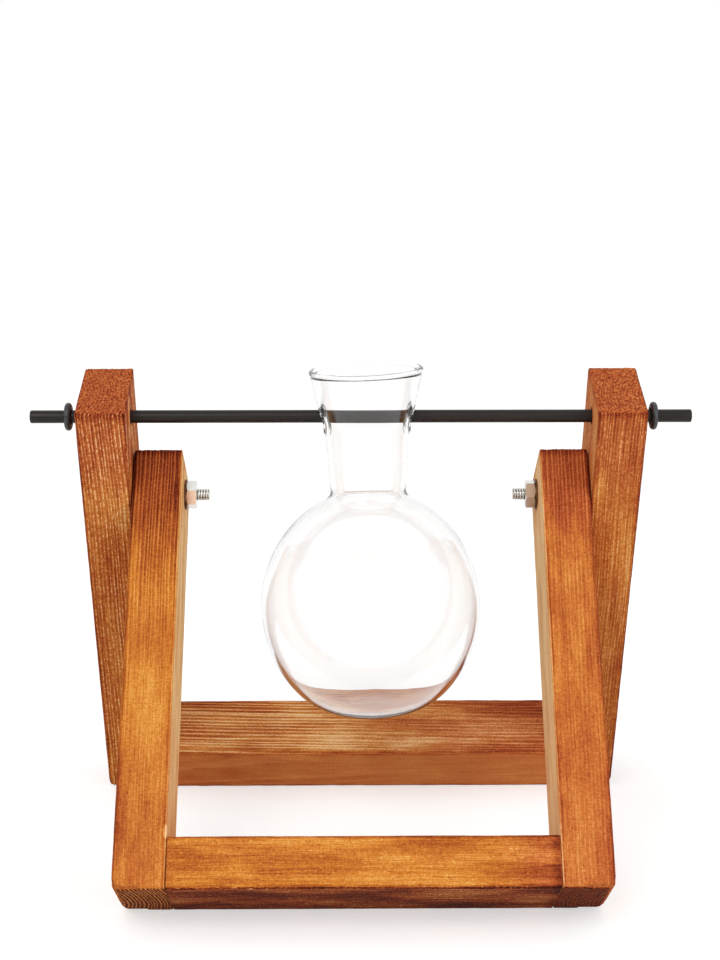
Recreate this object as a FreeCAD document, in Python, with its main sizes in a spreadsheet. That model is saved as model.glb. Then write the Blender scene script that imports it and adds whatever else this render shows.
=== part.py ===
import FreeCAD
import Part
import math
import os
import re
import Sketcher

# A glass bulb vase hung on a rod across the top of a folding wooden stand.
# The stand is two frames that cross at a pair of pivot screws, the inner one in front.
# X runs along the rod, Y away from the front frame, Z up. The origin is on the floor under the middle.

# Driving dimensions in millimetres and degrees
SIZES = {
    # wooden stock, as seen from the front and from the side
    "stock_width": "18",
    "stock_depth": "34",
    "edge_round": "1",
    # frames, measured from the pivot along the legs
    "clear_width": "133",
    "leg_gap": "0.3",
    "front_reach": "152.5",
    "front_top": "11",
    "front_lean": "38.3",
    "rear_lean": "19.3",
    "rod_rise": "34.2",
    "rear_top": "11.3",
    "rail_height": "18",
    # dowels in the butt joints of the rails
    "dowel_diameter": "6",
    "dowel_pitch": "16",
    "dowel_in_leg": "11",
    "dowel_in_rail": "14",
    "dowel_chamfer": "0.8",
    "dowel_fit": "0.05",
    "dowel_end_gap": "0.5",
    # pivot screws with their nuts and washers
    "screw_diameter": "4.8",
    "screw_fit": "0.1",
    "screw_end": "4.6",
    "screw_chamfer": "0.5",
    "head_diameter": "11",
    "head_height": "2.2",
    "nut_flats": "9.4",
    "nut_height": "3.8",
    "nut_bevel": "30",
    "nut_fit": "0.05",
    "left_nut_turn": "90",
    "right_nut_turn": "60",
    "washer_diameter": "11.4",
    "washer_thickness": "0.8",
    "cut_overrun": "1",
    # rod and its rubber rings
    "rod_diameter": "4.8",
    "rod_fit": "0.1",
    "rod_overhang": "18.9",
    "rod_chamfer": "0.4",
    "ring_width": "2.4",
    "ring_depth": "2.8",
    "ring_fit": "0.05",
    "ring_gap": "3.7",
    # glass vase, heights measured from its flat foot
    "foot_diameter": "35.8",
    "foot_round": "28",
    "bulb_diameter": "82.5",
    "bulb_middle": "40.4",
    "root_diameter": "27.8",
    "root_height": "82.2",
    "root_round": "4",
    "waist_diameter": "30.6",
    "waist_height": "103.3",
    "waist_round": "40",
    "mouth_diameter": "41.8",
    "vase_height": "131.3",
    "wall": "1.4",
    "floor_thickness": "1.6",
    "bead_diameter": "2.2",
    "hole_height": "111.6",
    "hole_diameter": "7",
    "lip_diameter": "2.2",
    "hang_gap": "0.3",
    "vase_offset": "3.5",
}

# Parts of the wall by which inside corners of the vase set in, and the most that a round may take
# of the lengths beside it
ROOT_WALL_SHARE = 0.7
FOOT_WALL_SHARE = 0.3
FOOT_ROUND_SHARE = 0.7
ROOT_ROUND_SHARE = 0.5
WAIST_ROUND_SHARE = 0.3

# Derived lengths, written with the names above
FRONT_LEG_X = "(clear_width + stock_width) / 2"
REAR_INNER_X = "(clear_width / 2 + stock_width + leg_gap)"
REAR_LEG_X = f"({REAR_INNER_X} + stock_width / 2)"
REAR_OUTER_X = f"({REAR_INNER_X} + stock_width)"
PIVOT_HEIGHT = (
    "((front_reach - edge_round) * cos(front_lean)"
    " + (stock_depth / 2 - edge_round) * sin(front_lean) + edge_round)"
)
REAR_REACH = (
    f"(({PIVOT_HEIGHT} - edge_round - (stock_depth / 2 - edge_round) * sin(rear_lean))"
    " / cos(rear_lean) + edge_round)"
)
ROD_END_X = f"({REAR_OUTER_X} + rod_overhang)"
NUT_OUTER_X = "(clear_width / 2 - washer_thickness)"
NUT_INNER_X = f"({NUT_OUTER_X} - nut_height)"
SCREW_TIP_X = f"({NUT_INNER_X} - screw_end)"
RING_INNER_X = f"({REAR_OUTER_X} + ring_gap)"
RIM_CENTRE_HEIGHT = "(vase_height - bead_diameter / 2)"
ROOT_LEAN = "atan((waist_diameter - root_diameter) / 2 / (waist_height - root_height))"
FLARE_LEAN = f"atan((mouth_diameter - waist_diameter) / 2 / ({RIM_CENTRE_HEIGHT} - waist_height))"
LIP_LEAN = f"(hole_height > waist_height ? {FLARE_LEAN} : {ROOT_LEAN})"
LIP_RADIUS = "((hole_diameter + lip_diameter) / 2)"
NECK_RADIUS = f"(waist_diameter / 2 + (hole_height - waist_height) * tan({LIP_LEAN}))"
HANG_DROP = (
    f"(hole_height + {LIP_RADIUS} * cos({LIP_LEAN}) - lip_diameter / 2"
    " - rod_diameter / 2 - hang_gap)"
)

# Rounds of the vase's outline, held to what the stretches beside them leave room for
FOOT_ROUND = f"min(foot_round; {FOOT_ROUND_SHARE} * bulb_diameter / 2; {FOOT_ROUND_SHARE} * bulb_middle)"
ROOT_ROUND = f"min(root_round; {ROOT_ROUND_SHARE} * (waist_height - root_height))"
WAIST_ROUND = (
    f"min(waist_round; {WAIST_ROUND_SHARE} * min(waist_height - root_height;"
    f" {RIM_CENTRE_HEIGHT} - waist_height) / tan(abs({FLARE_LEAN} - {ROOT_LEAN}) / 2))"
)

SIDES = {"left": -1, "right": 1}
HEXAGON = 6
ORIGIN_INDEX = -1
X_AXIS_INDEX = -1
Y_AXIS_INDEX = -2
START_INDEX = 1
END_INDEX = 2
CENTRE_INDEX = 3
FULL_TURN = 360
ROUGHLY = 1e-6

doc = FreeCAD.newDocument("propagation_vase")
sheet = doc.addObject("Spreadsheet::Sheet", "Sizes")


def fill_sheet():
    """Write each driving dimension beside its name."""
    for row, (name, text) in enumerate(SIZES.items(), start=1):
        sheet.set(f"A{row}", name)
        sheet.set(f"B{row}", text)
        sheet.setAlias(f"B{row}", name)
    doc.recompute()


def linked(text):
    """Point the size names in an expression at the sheet."""
    names = "|".join(SIZES)
    return re.sub(rf"\b({names})\b", r"Sizes.\1", str(text))


def value(text):
    """Work out an expression as a plain number."""
    return float(sheet.evalExpression(linked(text)))


# Sketch and feature helpers

def origin_plane(body, role):
    return next(item for item in body.Origin.OriginFeatures if item.Role == role)


def new_sketch(body, name, role, offset="0", across="0", up="0"):
    """Start a sketch on one of the body's own planes, moved along the plane's normal and in it."""
    sketch = body.newObject("Sketcher::SketchObject", name)
    sketch.AttachmentSupport = [(origin_plane(body, role), "")]
    sketch.MapMode = "FlatFace"
    for direction, text in (("x", across), ("y", up), ("z", offset)):
        sketch.setExpression(f"AttachmentOffset.Base.{direction}", linked(text))
    return sketch


def bind(sketch, kind, geometry, point, text):
    """Hold a point at a bound distance from the sketch's origin."""
    index = sketch.addConstraint(
        Sketcher.Constraint(kind, ORIGIN_INDEX, START_INDEX, geometry, point, value(text)))
    sketch.setExpression(f"Constraints[{index}]", linked(text))


def place_height(sketch, geometry, point, up):
    """Fix a point's height, on the axis where it is zero."""
    if up == "0":
        sketch.addConstraint(Sketcher.Constraint("PointOnObject", geometry, point, X_AXIS_INDEX))
    else:
        bind(sketch, "DistanceY", geometry, point, up)


def place_point(sketch, geometry, point, across, up):
    """Fix a point in both directions, on an axis where its distance is zero."""
    if across == "0":
        sketch.addConstraint(Sketcher.Constraint("PointOnObject", geometry, point, Y_AXIS_INDEX))
    else:
        bind(sketch, "DistanceX", geometry, point, across)
    place_height(sketch, geometry, point, up)


def arc_between(start, end, centre_height, turn):
    """The arc from start to end whose centre lies at a given height; turn is 1 anticlockwise."""
    rise = (end.y - centre_height) ** 2 - (start.y - centre_height) ** 2
    centre_x = (end.x ** 2 - start.x ** 2 + rise) / (2 * (end.x - start.x))
    centre = FreeCAD.Vector(centre_x, centre_height, 0)
    first, last = (start, end) if turn > 0 else (end, start)
    from_angle = math.atan2(first.y - centre.y, first.x - centre.x)
    to_angle = math.atan2(last.y - centre.y, last.x - centre.x)
    if to_angle <= from_angle:
        to_angle += math.radians(FULL_TURN)
    circle = Part.Circle(centre, FreeCAD.Vector(0, 0, 1), start.distanceToPoint(centre))
    return Part.ArcOfCircle(circle, from_angle, to_angle)


def point_along(curve, corner, distance):
    """The point on a curve at a distance from the corner where one of its ends lies."""
    first, last = curve.FirstParameter, curve.LastParameter
    if curve.value(first).distanceToPoint(corner) < curve.value(last).distanceToPoint(corner):
        return curve.value(curve.parameterAtDistance(distance, first))
    return curve.value(curve.parameterAtDistance(-distance, last))


def draw_outline(sketch, corners, arcs=None, rounds=None):
    """Draw a closed outline through corners.

    arcs maps a corner to the centre height and turn of the arc that starts there,
    and rounds maps a corner to the radius that rounds it.
    """
    arcs = arcs or {}
    rounds = rounds or {}
    points = [FreeCAD.Vector(value(across), value(up), 0) for across, up in corners]
    pieces = []
    for index, start in enumerate(points):
        end = points[(index + 1) % len(points)]
        if index in arcs:
            height, turn = arcs[index]
            geometry = sketch.addGeometry(arc_between(start, end, value(height), turn))
            ends = (START_INDEX, END_INDEX) if turn > 0 else (END_INDEX, START_INDEX)
        else:
            geometry = sketch.addGeometry(Part.LineSegment(start, end))
            ends = (START_INDEX, END_INDEX)
        pieces.append((geometry, *ends))
    for index, radius in rounds.items():
        round_corner(sketch, points[index], pieces[index - 1][0], pieces[index][0], radius)
    for index, (geometry, first, _) in enumerate(pieces):
        before, _, before_last = pieces[index - 1]
        if index in rounds:
            corner = sketch.addGeometry(Part.Point(points[index]), True)
            place_point(sketch, corner, START_INDEX, *corners[index])
            for curve in (before, geometry):
                sketch.addConstraint(Sketcher.Constraint("PointOnObject", corner, START_INDEX, curve))
        else:
            sketch.addConstraint(
                Sketcher.Constraint("Coincident", before, before_last, geometry, first))
            place_point(sketch, geometry, first, *corners[index])
    for index, (height, _) in arcs.items():
        place_height(sketch, pieces[index][0], CENTRE_INDEX, height)


def round_corner(sketch, corner, before, after, radius):
    """Round the corner between two drawn curves with a tangent arc of a bound radius."""
    curves = [sketch.Geometry[geometry] for geometry in (before, after)]
    directions = [point_along(curve, corner, ROUGHLY) - corner for curve in curves]
    reach = value(radius) / math.tan(directions[0].getAngle(directions[1]) / 2)
    places = [point_along(curve, corner, reach) for curve in curves]
    arc = sketch.GeometryCount
    sketch.fillet(before, after, *places, value(radius), True, False)
    index = sketch.addConstraint(Sketcher.Constraint("Radius", arc, value(radius)))
    sketch.setExpression(f"Constraints[{index}]", linked(radius))


def draw_circle(sketch, across, up, diameter):
    """Draw a circle with a bound centre and diameter."""
    centre = FreeCAD.Vector(value(across), value(up), 0)
    circle = Part.Circle(centre, FreeCAD.Vector(0, 0, 1), value(diameter) / 2)
    geometry = sketch.addGeometry(circle)
    index = sketch.addConstraint(Sketcher.Constraint("Diameter", geometry, value(diameter)))
    sketch.setExpression(f"Constraints[{index}]", linked(diameter))
    place_point(sketch, geometry, CENTRE_INDEX, across, up)


def draw_line(sketch, first, last):
    """Draw a construction line between two bound points."""
    ends = [FreeCAD.Vector(value(across), value(up), 0) for across, up in (first, last)]
    geometry = sketch.addGeometry(Part.LineSegment(*ends), True)
    place_point(sketch, geometry, START_INDEX, *first)
    place_point(sketch, geometry, END_INDEX, *last)


def new_body(name):
    body = doc.addObject("PartDesign::Body", name)
    body.Label = name
    return body


def pad(body, sketch, length, symmetric=False):
    feature = body.newObject("PartDesign::Pad", "Pad")
    feature.Profile = sketch
    feature.setExpression("Length", linked(length))
    feature.SideType = "Symmetric" if symmetric else "One side"
    return feature


def drill(body, sketch, depth=None):
    """Cut a sketch's circles, right through or to a depth on both sides of the sketch."""
    feature = body.newObject("PartDesign::Pocket", "Drilling")
    feature.Profile = sketch
    feature.SideType = "Symmetric"
    if depth is None:
        feature.Type = "ThroughAll"
    else:
        feature.setExpression("Length", linked(f"2 * ({depth})"))
    return feature


def revolve(body, sketch, axis, kind="PartDesign::Revolution"):
    feature = body.newObject(kind, "Turning")
    feature.Profile = sketch
    feature.ReferenceAxis = (sketch, [axis])
    feature.Angle = FULL_TURN
    return feature


def round_edges(body, radius, chosen):
    """Round the edges of the body's last feature that the chosen test accepts."""
    doc.recompute()
    base = body.Tip
    names = [f"Edge{i}" for i, edge in enumerate(base.Shape.Edges, start=1) if chosen(edge)]
    feature = body.newObject("PartDesign::Fillet", "Rounding")
    feature.Base = (base, names)
    feature.setExpression("Radius", linked(radius))
    return feature


def ends_match(edge, test):
    return all(test(vertex.Point) for vertex in edge.Vertexes)


# Wooden frames, each drawn about its pivot with its legs along Z

def rectangle(centre_x, half_x, centre_y, half_y):
    """Corners of an upright rectangle."""
    return [
        (f"{centre_x} - {half_x}", f"{centre_y} - {half_y}"),
        (f"{centre_x} + {half_x}", f"{centre_y} - {half_y}"),
        (f"{centre_x} + {half_x}", f"{centre_y} + {half_y}"),
        (f"{centre_x} - {half_x}", f"{centre_y} + {half_y}"),
    ]


def dowel_circles(sketch, reach, diameter):
    """Two circles side by side across the depth of the stock, halfway up the rail."""
    for side in SIDES.values():
        draw_circle(sketch, f"{side} * dowel_pitch / 2", f"rail_height / 2 - {reach}", diameter)


def add_leg(name, side, centre_x, reach, top, rod_hole):
    """A leg with its pivot hole, its two blind dowel holes and, in the rear frame, its rod hole."""
    body = new_body(name)
    section = new_sketch(body, "Section", "XY_Plane", f"-{reach}")
    draw_outline(section, rectangle(f"{side} * {centre_x}", "stock_width / 2", "0", "stock_depth / 2"))
    pad(body, section, f"{reach} + {top}")
    through = new_sketch(body, "ThroughHoles", "YZ_Plane")
    draw_circle(through, "0", "0", "screw_diameter + 2 * screw_fit")
    if rod_hole:
        draw_circle(through, "0", "rod_rise", "rod_diameter + 2 * rod_fit")
    drill(body, through)
    inner_x = f"{side} * ({centre_x} - stock_width / 2)"
    blind = new_sketch(body, "DowelHoles", "YZ_Plane", inner_x)
    dowel_circles(blind, reach, "dowel_diameter + 2 * dowel_fit")
    drill(body, blind, "dowel_in_leg + dowel_end_gap")
    outer_x = side * (value(centre_x) + value("stock_width / 2"))
    low_z = -value(reach)
    high_z = value(top)

    def outer_edge(edge):
        upright = ends_match(edge, lambda point: abs(point.x - outer_x) < ROUGHLY)
        foot = ends_match(edge, lambda point: abs(point.z - low_z) < ROUGHLY)
        inner = ends_match(edge, lambda point: abs(point.x - value(inner_x)) < ROUGHLY)
        head = ends_match(edge, lambda point: abs(point.z - high_z) < ROUGHLY)
        straight = edge.Curve.TypeId == "Part::GeomLine"
        return straight and (upright or (foot and not inner) or head)

    round_edges(body, "edge_round", outer_edge)
    return body


def add_rail(name, half_length, reach):
    """A bottom rail between two legs, with dowel holes in both ends."""
    body = new_body(name)
    section = new_sketch(body, "Section", "YZ_Plane")
    corners = rectangle("0", "stock_depth / 2", f"rail_height / 2 - {reach}", "rail_height / 2")
    draw_outline(section, corners)
    pad(body, section, f"2 * {half_length}", symmetric=True)
    for side_name, side in SIDES.items():
        holes = new_sketch(body, f"DowelHoles_{side_name}", "YZ_Plane", f"{side} * {half_length}")
        dowel_circles(holes, reach, "dowel_diameter + 2 * dowel_fit")
        drill(body, holes, "dowel_in_rail + dowel_end_gap")
    low_z = -value(reach)
    round_edges(body, "edge_round", lambda edge: ends_match(edge, lambda p: abs(p.z - low_z) < ROUGHLY)
                and abs(edge.Vertexes[0].Point.x - edge.Vertexes[-1].Point.x) > ROUGHLY)
    return body


def add_dowels(name, side, inner_x, reach):
    """The two chamfered dowels of one butt joint, one turned and the other its mirror image."""
    body = new_body(name)
    body.AllowCompound = True
    profile = new_sketch(body, "Profile", "XZ_Plane", "dowel_pitch / 2",
                         f"{side} * {inner_x}", f"rail_height / 2 - {reach}")
    rail_end = f"{-side} * dowel_in_rail"
    leg_end = f"{side} * dowel_in_leg"
    radius = "dowel_diameter / 2"
    draw_outline(profile, [
        (rail_end, "0"),
        (rail_end, f"{radius} - dowel_chamfer"),
        (f"{rail_end} + {side} * dowel_chamfer", radius),
        (f"{leg_end} - {side} * dowel_chamfer", radius),
        (leg_end, f"{radius} - dowel_chamfer"),
        (leg_end, "0"),
    ])
    turned = revolve(body, profile, "H_Axis")
    mirrored = body.newObject("PartDesign::Mirrored", "OtherDowel")
    mirrored.Originals = [turned]
    mirrored.MirrorPlane = (origin_plane(body, "XZ_Plane"), [""])
    body.Tip = mirrored
    return body


# Pivot hardware, drawn about the pivot

def add_screw(name, side):
    """A machine screw with a low domed head against the outer leg and its thread end inside."""
    body = new_body(name)
    profile = new_sketch(body, "Profile", "XZ_Plane")
    radius = "screw_diameter / 2"
    tip = f"{side} * {SCREW_TIP_X}"
    seat = f"{side} * {REAR_OUTER_X}"
    corners = [
        (tip, "0"),
        (tip, f"{radius} - screw_chamfer"),
        (f"{tip} + {side} * screw_chamfer", radius),
        (seat, radius),
        (seat, "head_diameter / 2"),
        (f"{seat} + {side} * head_height", "0"),
    ]
    draw_outline(profile, corners, {4: ("0", -side)})
    revolve(body, profile, "H_Axis")
    return body


def add_nut(name, side, turn):
    """A hex nut on the inner face of the inner leg, its corners cut back to a cone."""
    body = new_body(name)
    middle = f"{side} * ({NUT_OUTER_X} - nut_height / 2)"
    section = new_sketch(body, "Hexagon", "YZ_Plane", middle)
    corner_radius = f"nut_flats / 2 / cos({FULL_TURN / HEXAGON / 2})"
    angles = [f"({turn} + {step * FULL_TURN / HEXAGON})" for step in range(HEXAGON)]
    draw_outline(section, [(f"{corner_radius} * cos({angle})", f"{corner_radius} * sin({angle})")
                           for angle in angles])
    pad(body, section, "nut_height", symmetric=True)
    bore = new_sketch(body, "Bore", "YZ_Plane", middle)
    draw_circle(bore, "0", "0", "screw_diameter + 2 * nut_fit")
    drill(body, bore)
    for end in (-1, 1):
        face = f"{middle} + {end} * nut_height / 2"
        beyond = f"({corner_radius} + cut_overrun)"
        slope_depth = f"({beyond} - nut_flats / 2) * tan(nut_bevel)"
        cutter = new_sketch(body, "Bevel", "XZ_Plane")
        draw_outline(cutter, [
            (face, "nut_flats / 2"),
            (f"{face} - {end} * {slope_depth}", beyond),
            (f"{face} + {end} * cut_overrun", beyond),
            (f"{face} + {end} * cut_overrun", "nut_flats / 2"),
        ])
        revolve(body, cutter, "H_Axis", "PartDesign::Groove")
    return body


def add_washer(name, side):
    """The flat washer between nut and leg."""
    body = new_body(name)
    middle = f"{side} * (clear_width / 2 - washer_thickness / 2)"
    section = new_sketch(body, "Section", "YZ_Plane", middle)
    draw_circle(section, "0", "0", "washer_diameter")
    draw_circle(section, "0", "0", "screw_diameter + 2 * nut_fit")
    pad(body, section, "washer_thickness", symmetric=True)
    return body


# Rod and rings, drawn about the rod's axis

def add_rod(name):
    """The straight rod with its small end bevels."""
    body = new_body(name)
    profile = new_sketch(body, "Profile", "XZ_Plane")
    radius = "rod_diameter / 2"
    draw_outline(profile, [
        (f"-{ROD_END_X}", "0"),
        (f"-{ROD_END_X}", f"{radius} - rod_chamfer"),
        (f"-{ROD_END_X} + rod_chamfer", radius),
        (f"{ROD_END_X} - rod_chamfer", radius),
        (ROD_END_X, f"{radius} - rod_chamfer"),
        (ROD_END_X, "0"),
    ])
    revolve(body, profile, "H_Axis")
    return body


def add_ring(name, side):
    """A rubber ring with a rounded section, a little way along the rod from the outer leg."""
    body = new_body(name)
    profile = new_sketch(body, "Profile", "XZ_Plane")
    inner = "(rod_diameter / 2 + ring_fit)"
    near = f"{side} * {RING_INNER_X}"
    far = f"{side} * ({RING_INNER_X} + ring_width)"
    low = f"{inner} + ring_width / 2"
    high = f"{inner} + ring_depth - ring_width / 2"
    draw_outline(profile, [(near, low), (near, high), (far, high), (far, low)],
                 {1: (high, -side), 3: (low, -side)})
    revolve(body, profile, "H_Axis")
    return body


# Glass vase, drawn from its foot up

def add_lip(body, name, side):
    """A round lip melted on the edge of a side hole, leaning out with the flare of the neck."""
    lip = new_sketch(body, name, "XZ_Plane", up="hole_height")
    sag = f"{LIP_RADIUS} ^ 2 / (4 * {NECK_RADIUS})"
    middle = f"({NECK_RADIUS} - wall / 2 - {sag})"
    axis_end = (f"{side} * ({middle} + {LIP_RADIUS} * cos({LIP_LEAN}))",
                f"-{LIP_RADIUS} * sin({LIP_LEAN})")
    draw_line(lip, (f"{side} * {middle}", "0"), axis_end)
    draw_circle(lip, f"{side} * ({middle} + {LIP_RADIUS} * sin({LIP_LEAN}))",
                f"{LIP_RADIUS} * cos({LIP_LEAN})", "lip_diameter")
    revolve(body, lip, "Axis0")


def add_vase(name):
    """A blown bulb with a small flat foot, a flared neck with a beaded rim, and two side holes."""
    body = new_body(name)
    outside = new_sketch(body, "Outside", "XZ_Plane")
    draw_outline(outside, [
        ("0", "0"),
        ("foot_diameter / 2", "0"),
        ("bulb_diameter / 2", "bulb_middle"),
        ("root_diameter / 2", "root_height"),
        ("waist_diameter / 2", "waist_height"),
        ("mouth_diameter / 2", RIM_CENTRE_HEIGHT),
        ("0", RIM_CENTRE_HEIGHT),
    ], {1: ("bulb_middle", 1), 2: ("bulb_middle", 1)}, {
        1: FOOT_ROUND,
        3: ROOT_ROUND,
        4: WAIST_ROUND,
    })
    revolve(body, outside, "V_Axis")
    inside = new_sketch(body, "Inside", "XZ_Plane")
    draw_outline(inside, [
        ("0", "floor_thickness"),
        (f"foot_diameter / 2 - wall * {FOOT_WALL_SHARE}", "floor_thickness"),
        ("bulb_diameter / 2 - wall", "bulb_middle"),
        ("root_diameter / 2 - wall", f"(root_height - wall * {ROOT_WALL_SHARE})"),
        ("waist_diameter / 2 - wall", "waist_height"),
        ("mouth_diameter / 2 - wall", RIM_CENTRE_HEIGHT),
        ("mouth_diameter / 2 - wall", f"{RIM_CENTRE_HEIGHT} + cut_overrun"),
        ("0", f"{RIM_CENTRE_HEIGHT} + cut_overrun"),
    ], {1: ("bulb_middle", 1), 2: ("bulb_middle", 1)}, {
        1: f"{FOOT_ROUND} - wall",
        3: f"{ROOT_ROUND} + wall",
        4: f"{WAIST_ROUND} + wall",
    })
    revolve(body, inside, "V_Axis", "PartDesign::Groove")
    bead = new_sketch(body, "Bead", "XZ_Plane")
    draw_circle(bead, "mouth_diameter / 2 - wall / 2", RIM_CENTRE_HEIGHT, "bead_diameter")
    revolve(body, bead, "V_Axis")
    holes = new_sketch(body, "SideHoles", "YZ_Plane")
    draw_circle(holes, "0", "hole_height", f"2 * {LIP_RADIUS}")
    drill(body, holes)
    for side_name, side in SIDES.items():
        add_lip(body, f"Lip_{side_name}", side)
    return body


# Assembly

def frame_span(reach, lean):
    """How far a frame reaches sideways from its pivot, with the rounding of its foot taken off."""
    round_radius = value("edge_round")
    angle = math.radians(lean)
    along = (value(reach) - round_radius) * math.sin(angle)
    across = (value("stock_depth / 2") - round_radius) * math.cos(angle)
    return along + across + round_radius


def build():
    """Build every piece, put it in place and return the bodies."""
    fill_sheet()
    front_lean = value("front_lean")
    rear_lean = value("rear_lean")
    tilt_axis = FreeCAD.Vector(1, 0, 0)
    pivot_y = (frame_span("front_reach", front_lean) - frame_span(REAR_REACH, rear_lean)) / 2
    pivot = FreeCAD.Vector(0, pivot_y, value(PIVOT_HEIGHT))
    front_place = FreeCAD.Placement(pivot, FreeCAD.Rotation(tilt_axis, -front_lean))
    rear_place = FreeCAD.Placement(pivot, FreeCAD.Rotation(tilt_axis, rear_lean))
    rod_centre = rear_place.multVec(FreeCAD.Vector(0, 0, value("rod_rise")))
    rod_place = FreeCAD.Placement(rod_centre, FreeCAD.Rotation())
    vase_base = rod_centre + FreeCAD.Vector(value("vase_offset"), 0, -value(HANG_DROP))
    placed = {}
    for side_name, side in SIDES.items():
        placed[add_leg(f"front_{side_name}_leg", side, FRONT_LEG_X, "front_reach", "front_top",
                       rod_hole=False)] = front_place
        placed[add_leg(f"rear_{side_name}_leg", side, REAR_LEG_X, REAR_REACH, "(rod_rise + rear_top)",
                       rod_hole=True)] = rear_place
        placed[add_dowels(f"front_{side_name}_dowels", side, "clear_width / 2",
                          "front_reach")] = front_place
        placed[add_dowels(f"rear_{side_name}_dowels", side, REAR_INNER_X, REAR_REACH)] = rear_place
        placed[add_screw(f"{side_name}_pivot_screw", side)] = rear_place
        turn = f"{side_name}_nut_turn - rear_lean"
        placed[add_nut(f"{side_name}_pivot_nut", side, turn)] = rear_place
        placed[add_washer(f"{side_name}_nut_washer", side)] = rear_place
        placed[add_ring(f"{side_name}_stopper_ring", side)] = rod_place
    placed[add_rail("front_rail", "clear_width / 2", "front_reach")] = front_place
    placed[add_rail("rear_rail", REAR_INNER_X, REAR_REACH)] = rear_place
    placed[add_rod("hanging_rod")] = rod_place
    placed[add_vase("glass_vase")] = FreeCAD.Placement(vase_base, FreeCAD.Rotation())
    for body, place in placed.items():
        body.Placement = place
    doc.recompute()
    return list(placed)


def check(bodies):
    """Stop on any failed object or broken shape."""
    for item in doc.Objects:
        if "Invalid" in item.State or "Error" in item.State:
            raise RuntimeError(f"{item.Name} failed: {item.State}")
    for body in bodies:
        if body.Shape.isNull() or not body.Shape.isValid() or body.Shape.Volume <= 0:
            raise RuntimeError(f"{body.Label} has no sound shape")


def export(bodies):
    """Write each piece to its own file."""
    os.makedirs("parts", exist_ok=True)
    for body in bodies:
        body.Shape.exportStep(f"parts/{body.Label}.step")
        box = body.Shape.BoundBox
        print(f"{body.Label}: {len(body.Shape.Solids)} solid, {body.Shape.Volume:.1f} mm3,"
              f" x {box.XMin:.2f} {box.XMax:.2f}, y {box.YMin:.2f} {box.YMax:.2f},"
              f" z {box.ZMin:.2f} {box.ZMax:.2f}")


pieces = build()
check(pieces)
export(pieces)
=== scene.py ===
import math
from dataclasses import dataclass

import bmesh
import bpy
import numpy as np
from mathutils import Matrix, Vector, noise


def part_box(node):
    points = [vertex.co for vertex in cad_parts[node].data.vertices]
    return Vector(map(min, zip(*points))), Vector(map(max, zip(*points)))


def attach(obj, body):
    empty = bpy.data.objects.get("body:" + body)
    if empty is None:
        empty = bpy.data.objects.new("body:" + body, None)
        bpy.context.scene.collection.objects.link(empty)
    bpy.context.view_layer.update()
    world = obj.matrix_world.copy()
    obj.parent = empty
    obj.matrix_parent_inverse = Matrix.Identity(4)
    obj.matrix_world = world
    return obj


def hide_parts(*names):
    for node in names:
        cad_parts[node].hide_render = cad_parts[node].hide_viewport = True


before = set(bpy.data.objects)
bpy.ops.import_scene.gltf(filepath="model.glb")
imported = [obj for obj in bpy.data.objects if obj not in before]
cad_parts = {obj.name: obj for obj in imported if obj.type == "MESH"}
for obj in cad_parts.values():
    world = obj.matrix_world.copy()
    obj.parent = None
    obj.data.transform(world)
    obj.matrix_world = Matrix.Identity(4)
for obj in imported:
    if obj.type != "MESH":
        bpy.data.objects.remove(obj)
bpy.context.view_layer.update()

# Lengths below are millimetres and angles degrees, unless a name or comment says otherwise
MM = 0.001
TINY = 1e-6
FULL_TURN = 2 * math.pi
WHITE = (1.0, 1.0, 1.0, 1.0)
BLACK = (0.0, 0.0, 0.0, 1.0)
X, Y, Z = range(3)
SIDES = {"left": -1, "right": 1}


def middle(node):
    """The middle of a CAD node's box, in millimetres."""
    low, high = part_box(node)
    return (low + high) / 2 / MM


# Where the CAD model has the pivot, the rod and the vase
PIVOT = middle("left_pivot_screw")
PIVOT.x = 0
ROD_AXIS = middle("hanging_rod")
VASE_FOOT = middle("glass_vase")
VASE_FOOT.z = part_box("glass_vase")[0].z / MM
ROD_RISE = math.hypot(PIVOT.y - ROD_AXIS.y, ROD_AXIS.z - PIVOT.z)
REAR_LEAN = math.degrees(math.atan2(PIVOT.y - ROD_AXIS.y, ROD_AXIS.z - PIVOT.z))
FRONT_LEAN = 38.3


def lean_matrix(degrees):
    """From a frame's own axes, with its legs upright about the pivot, to the part's."""
    return Matrix.Translation(PIVOT) @ Matrix.Rotation(math.radians(degrees), 4, "X")


FRONT_PLACE = lean_matrix(-FRONT_LEAN)
REAR_PLACE = lean_matrix(REAR_LEAN)
TO_METRES = Matrix.Scale(MM, 4)


def local_box(node, place):
    """Lowest and highest corners of a CAD node in the axes of its frame, in millimetres."""
    inverse = place.inverted()
    points = [inverse @ (vertex.co / MM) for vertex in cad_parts[node].data.vertices]
    low = Vector([min(point[axis] for point in points) for axis in range(3)])
    high = Vector([max(point[axis] for point in points) for axis in range(3)])
    return low, high


# Mesh helpers

def mesh_object(name, vertices, faces, smooth=True):
    """A new object from points in metres."""
    mesh = bpy.data.meshes.new(name)
    mesh.from_pydata([tuple(point) for point in vertices], [], faces)
    mesh.validate()
    work = bmesh.new()
    work.from_mesh(mesh)
    bmesh.ops.recalc_face_normals(work, faces=work.faces)
    work.to_mesh(mesh)
    work.free()
    mesh.polygons.foreach_set("use_smooth", [smooth] * len(mesh.polygons))
    piece = bpy.data.objects.new(name, mesh)
    bpy.context.scene.collection.objects.link(piece)
    return piece


def keep_points(piece, name, points):
    """Store a place for each vertex, for the material to read."""
    attribute = piece.data.attributes.new(name, "FLOAT_VECTOR", "POINT")
    attribute.data.foreach_set("vector", np.asarray(points, dtype=np.float32).ravel())


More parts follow.
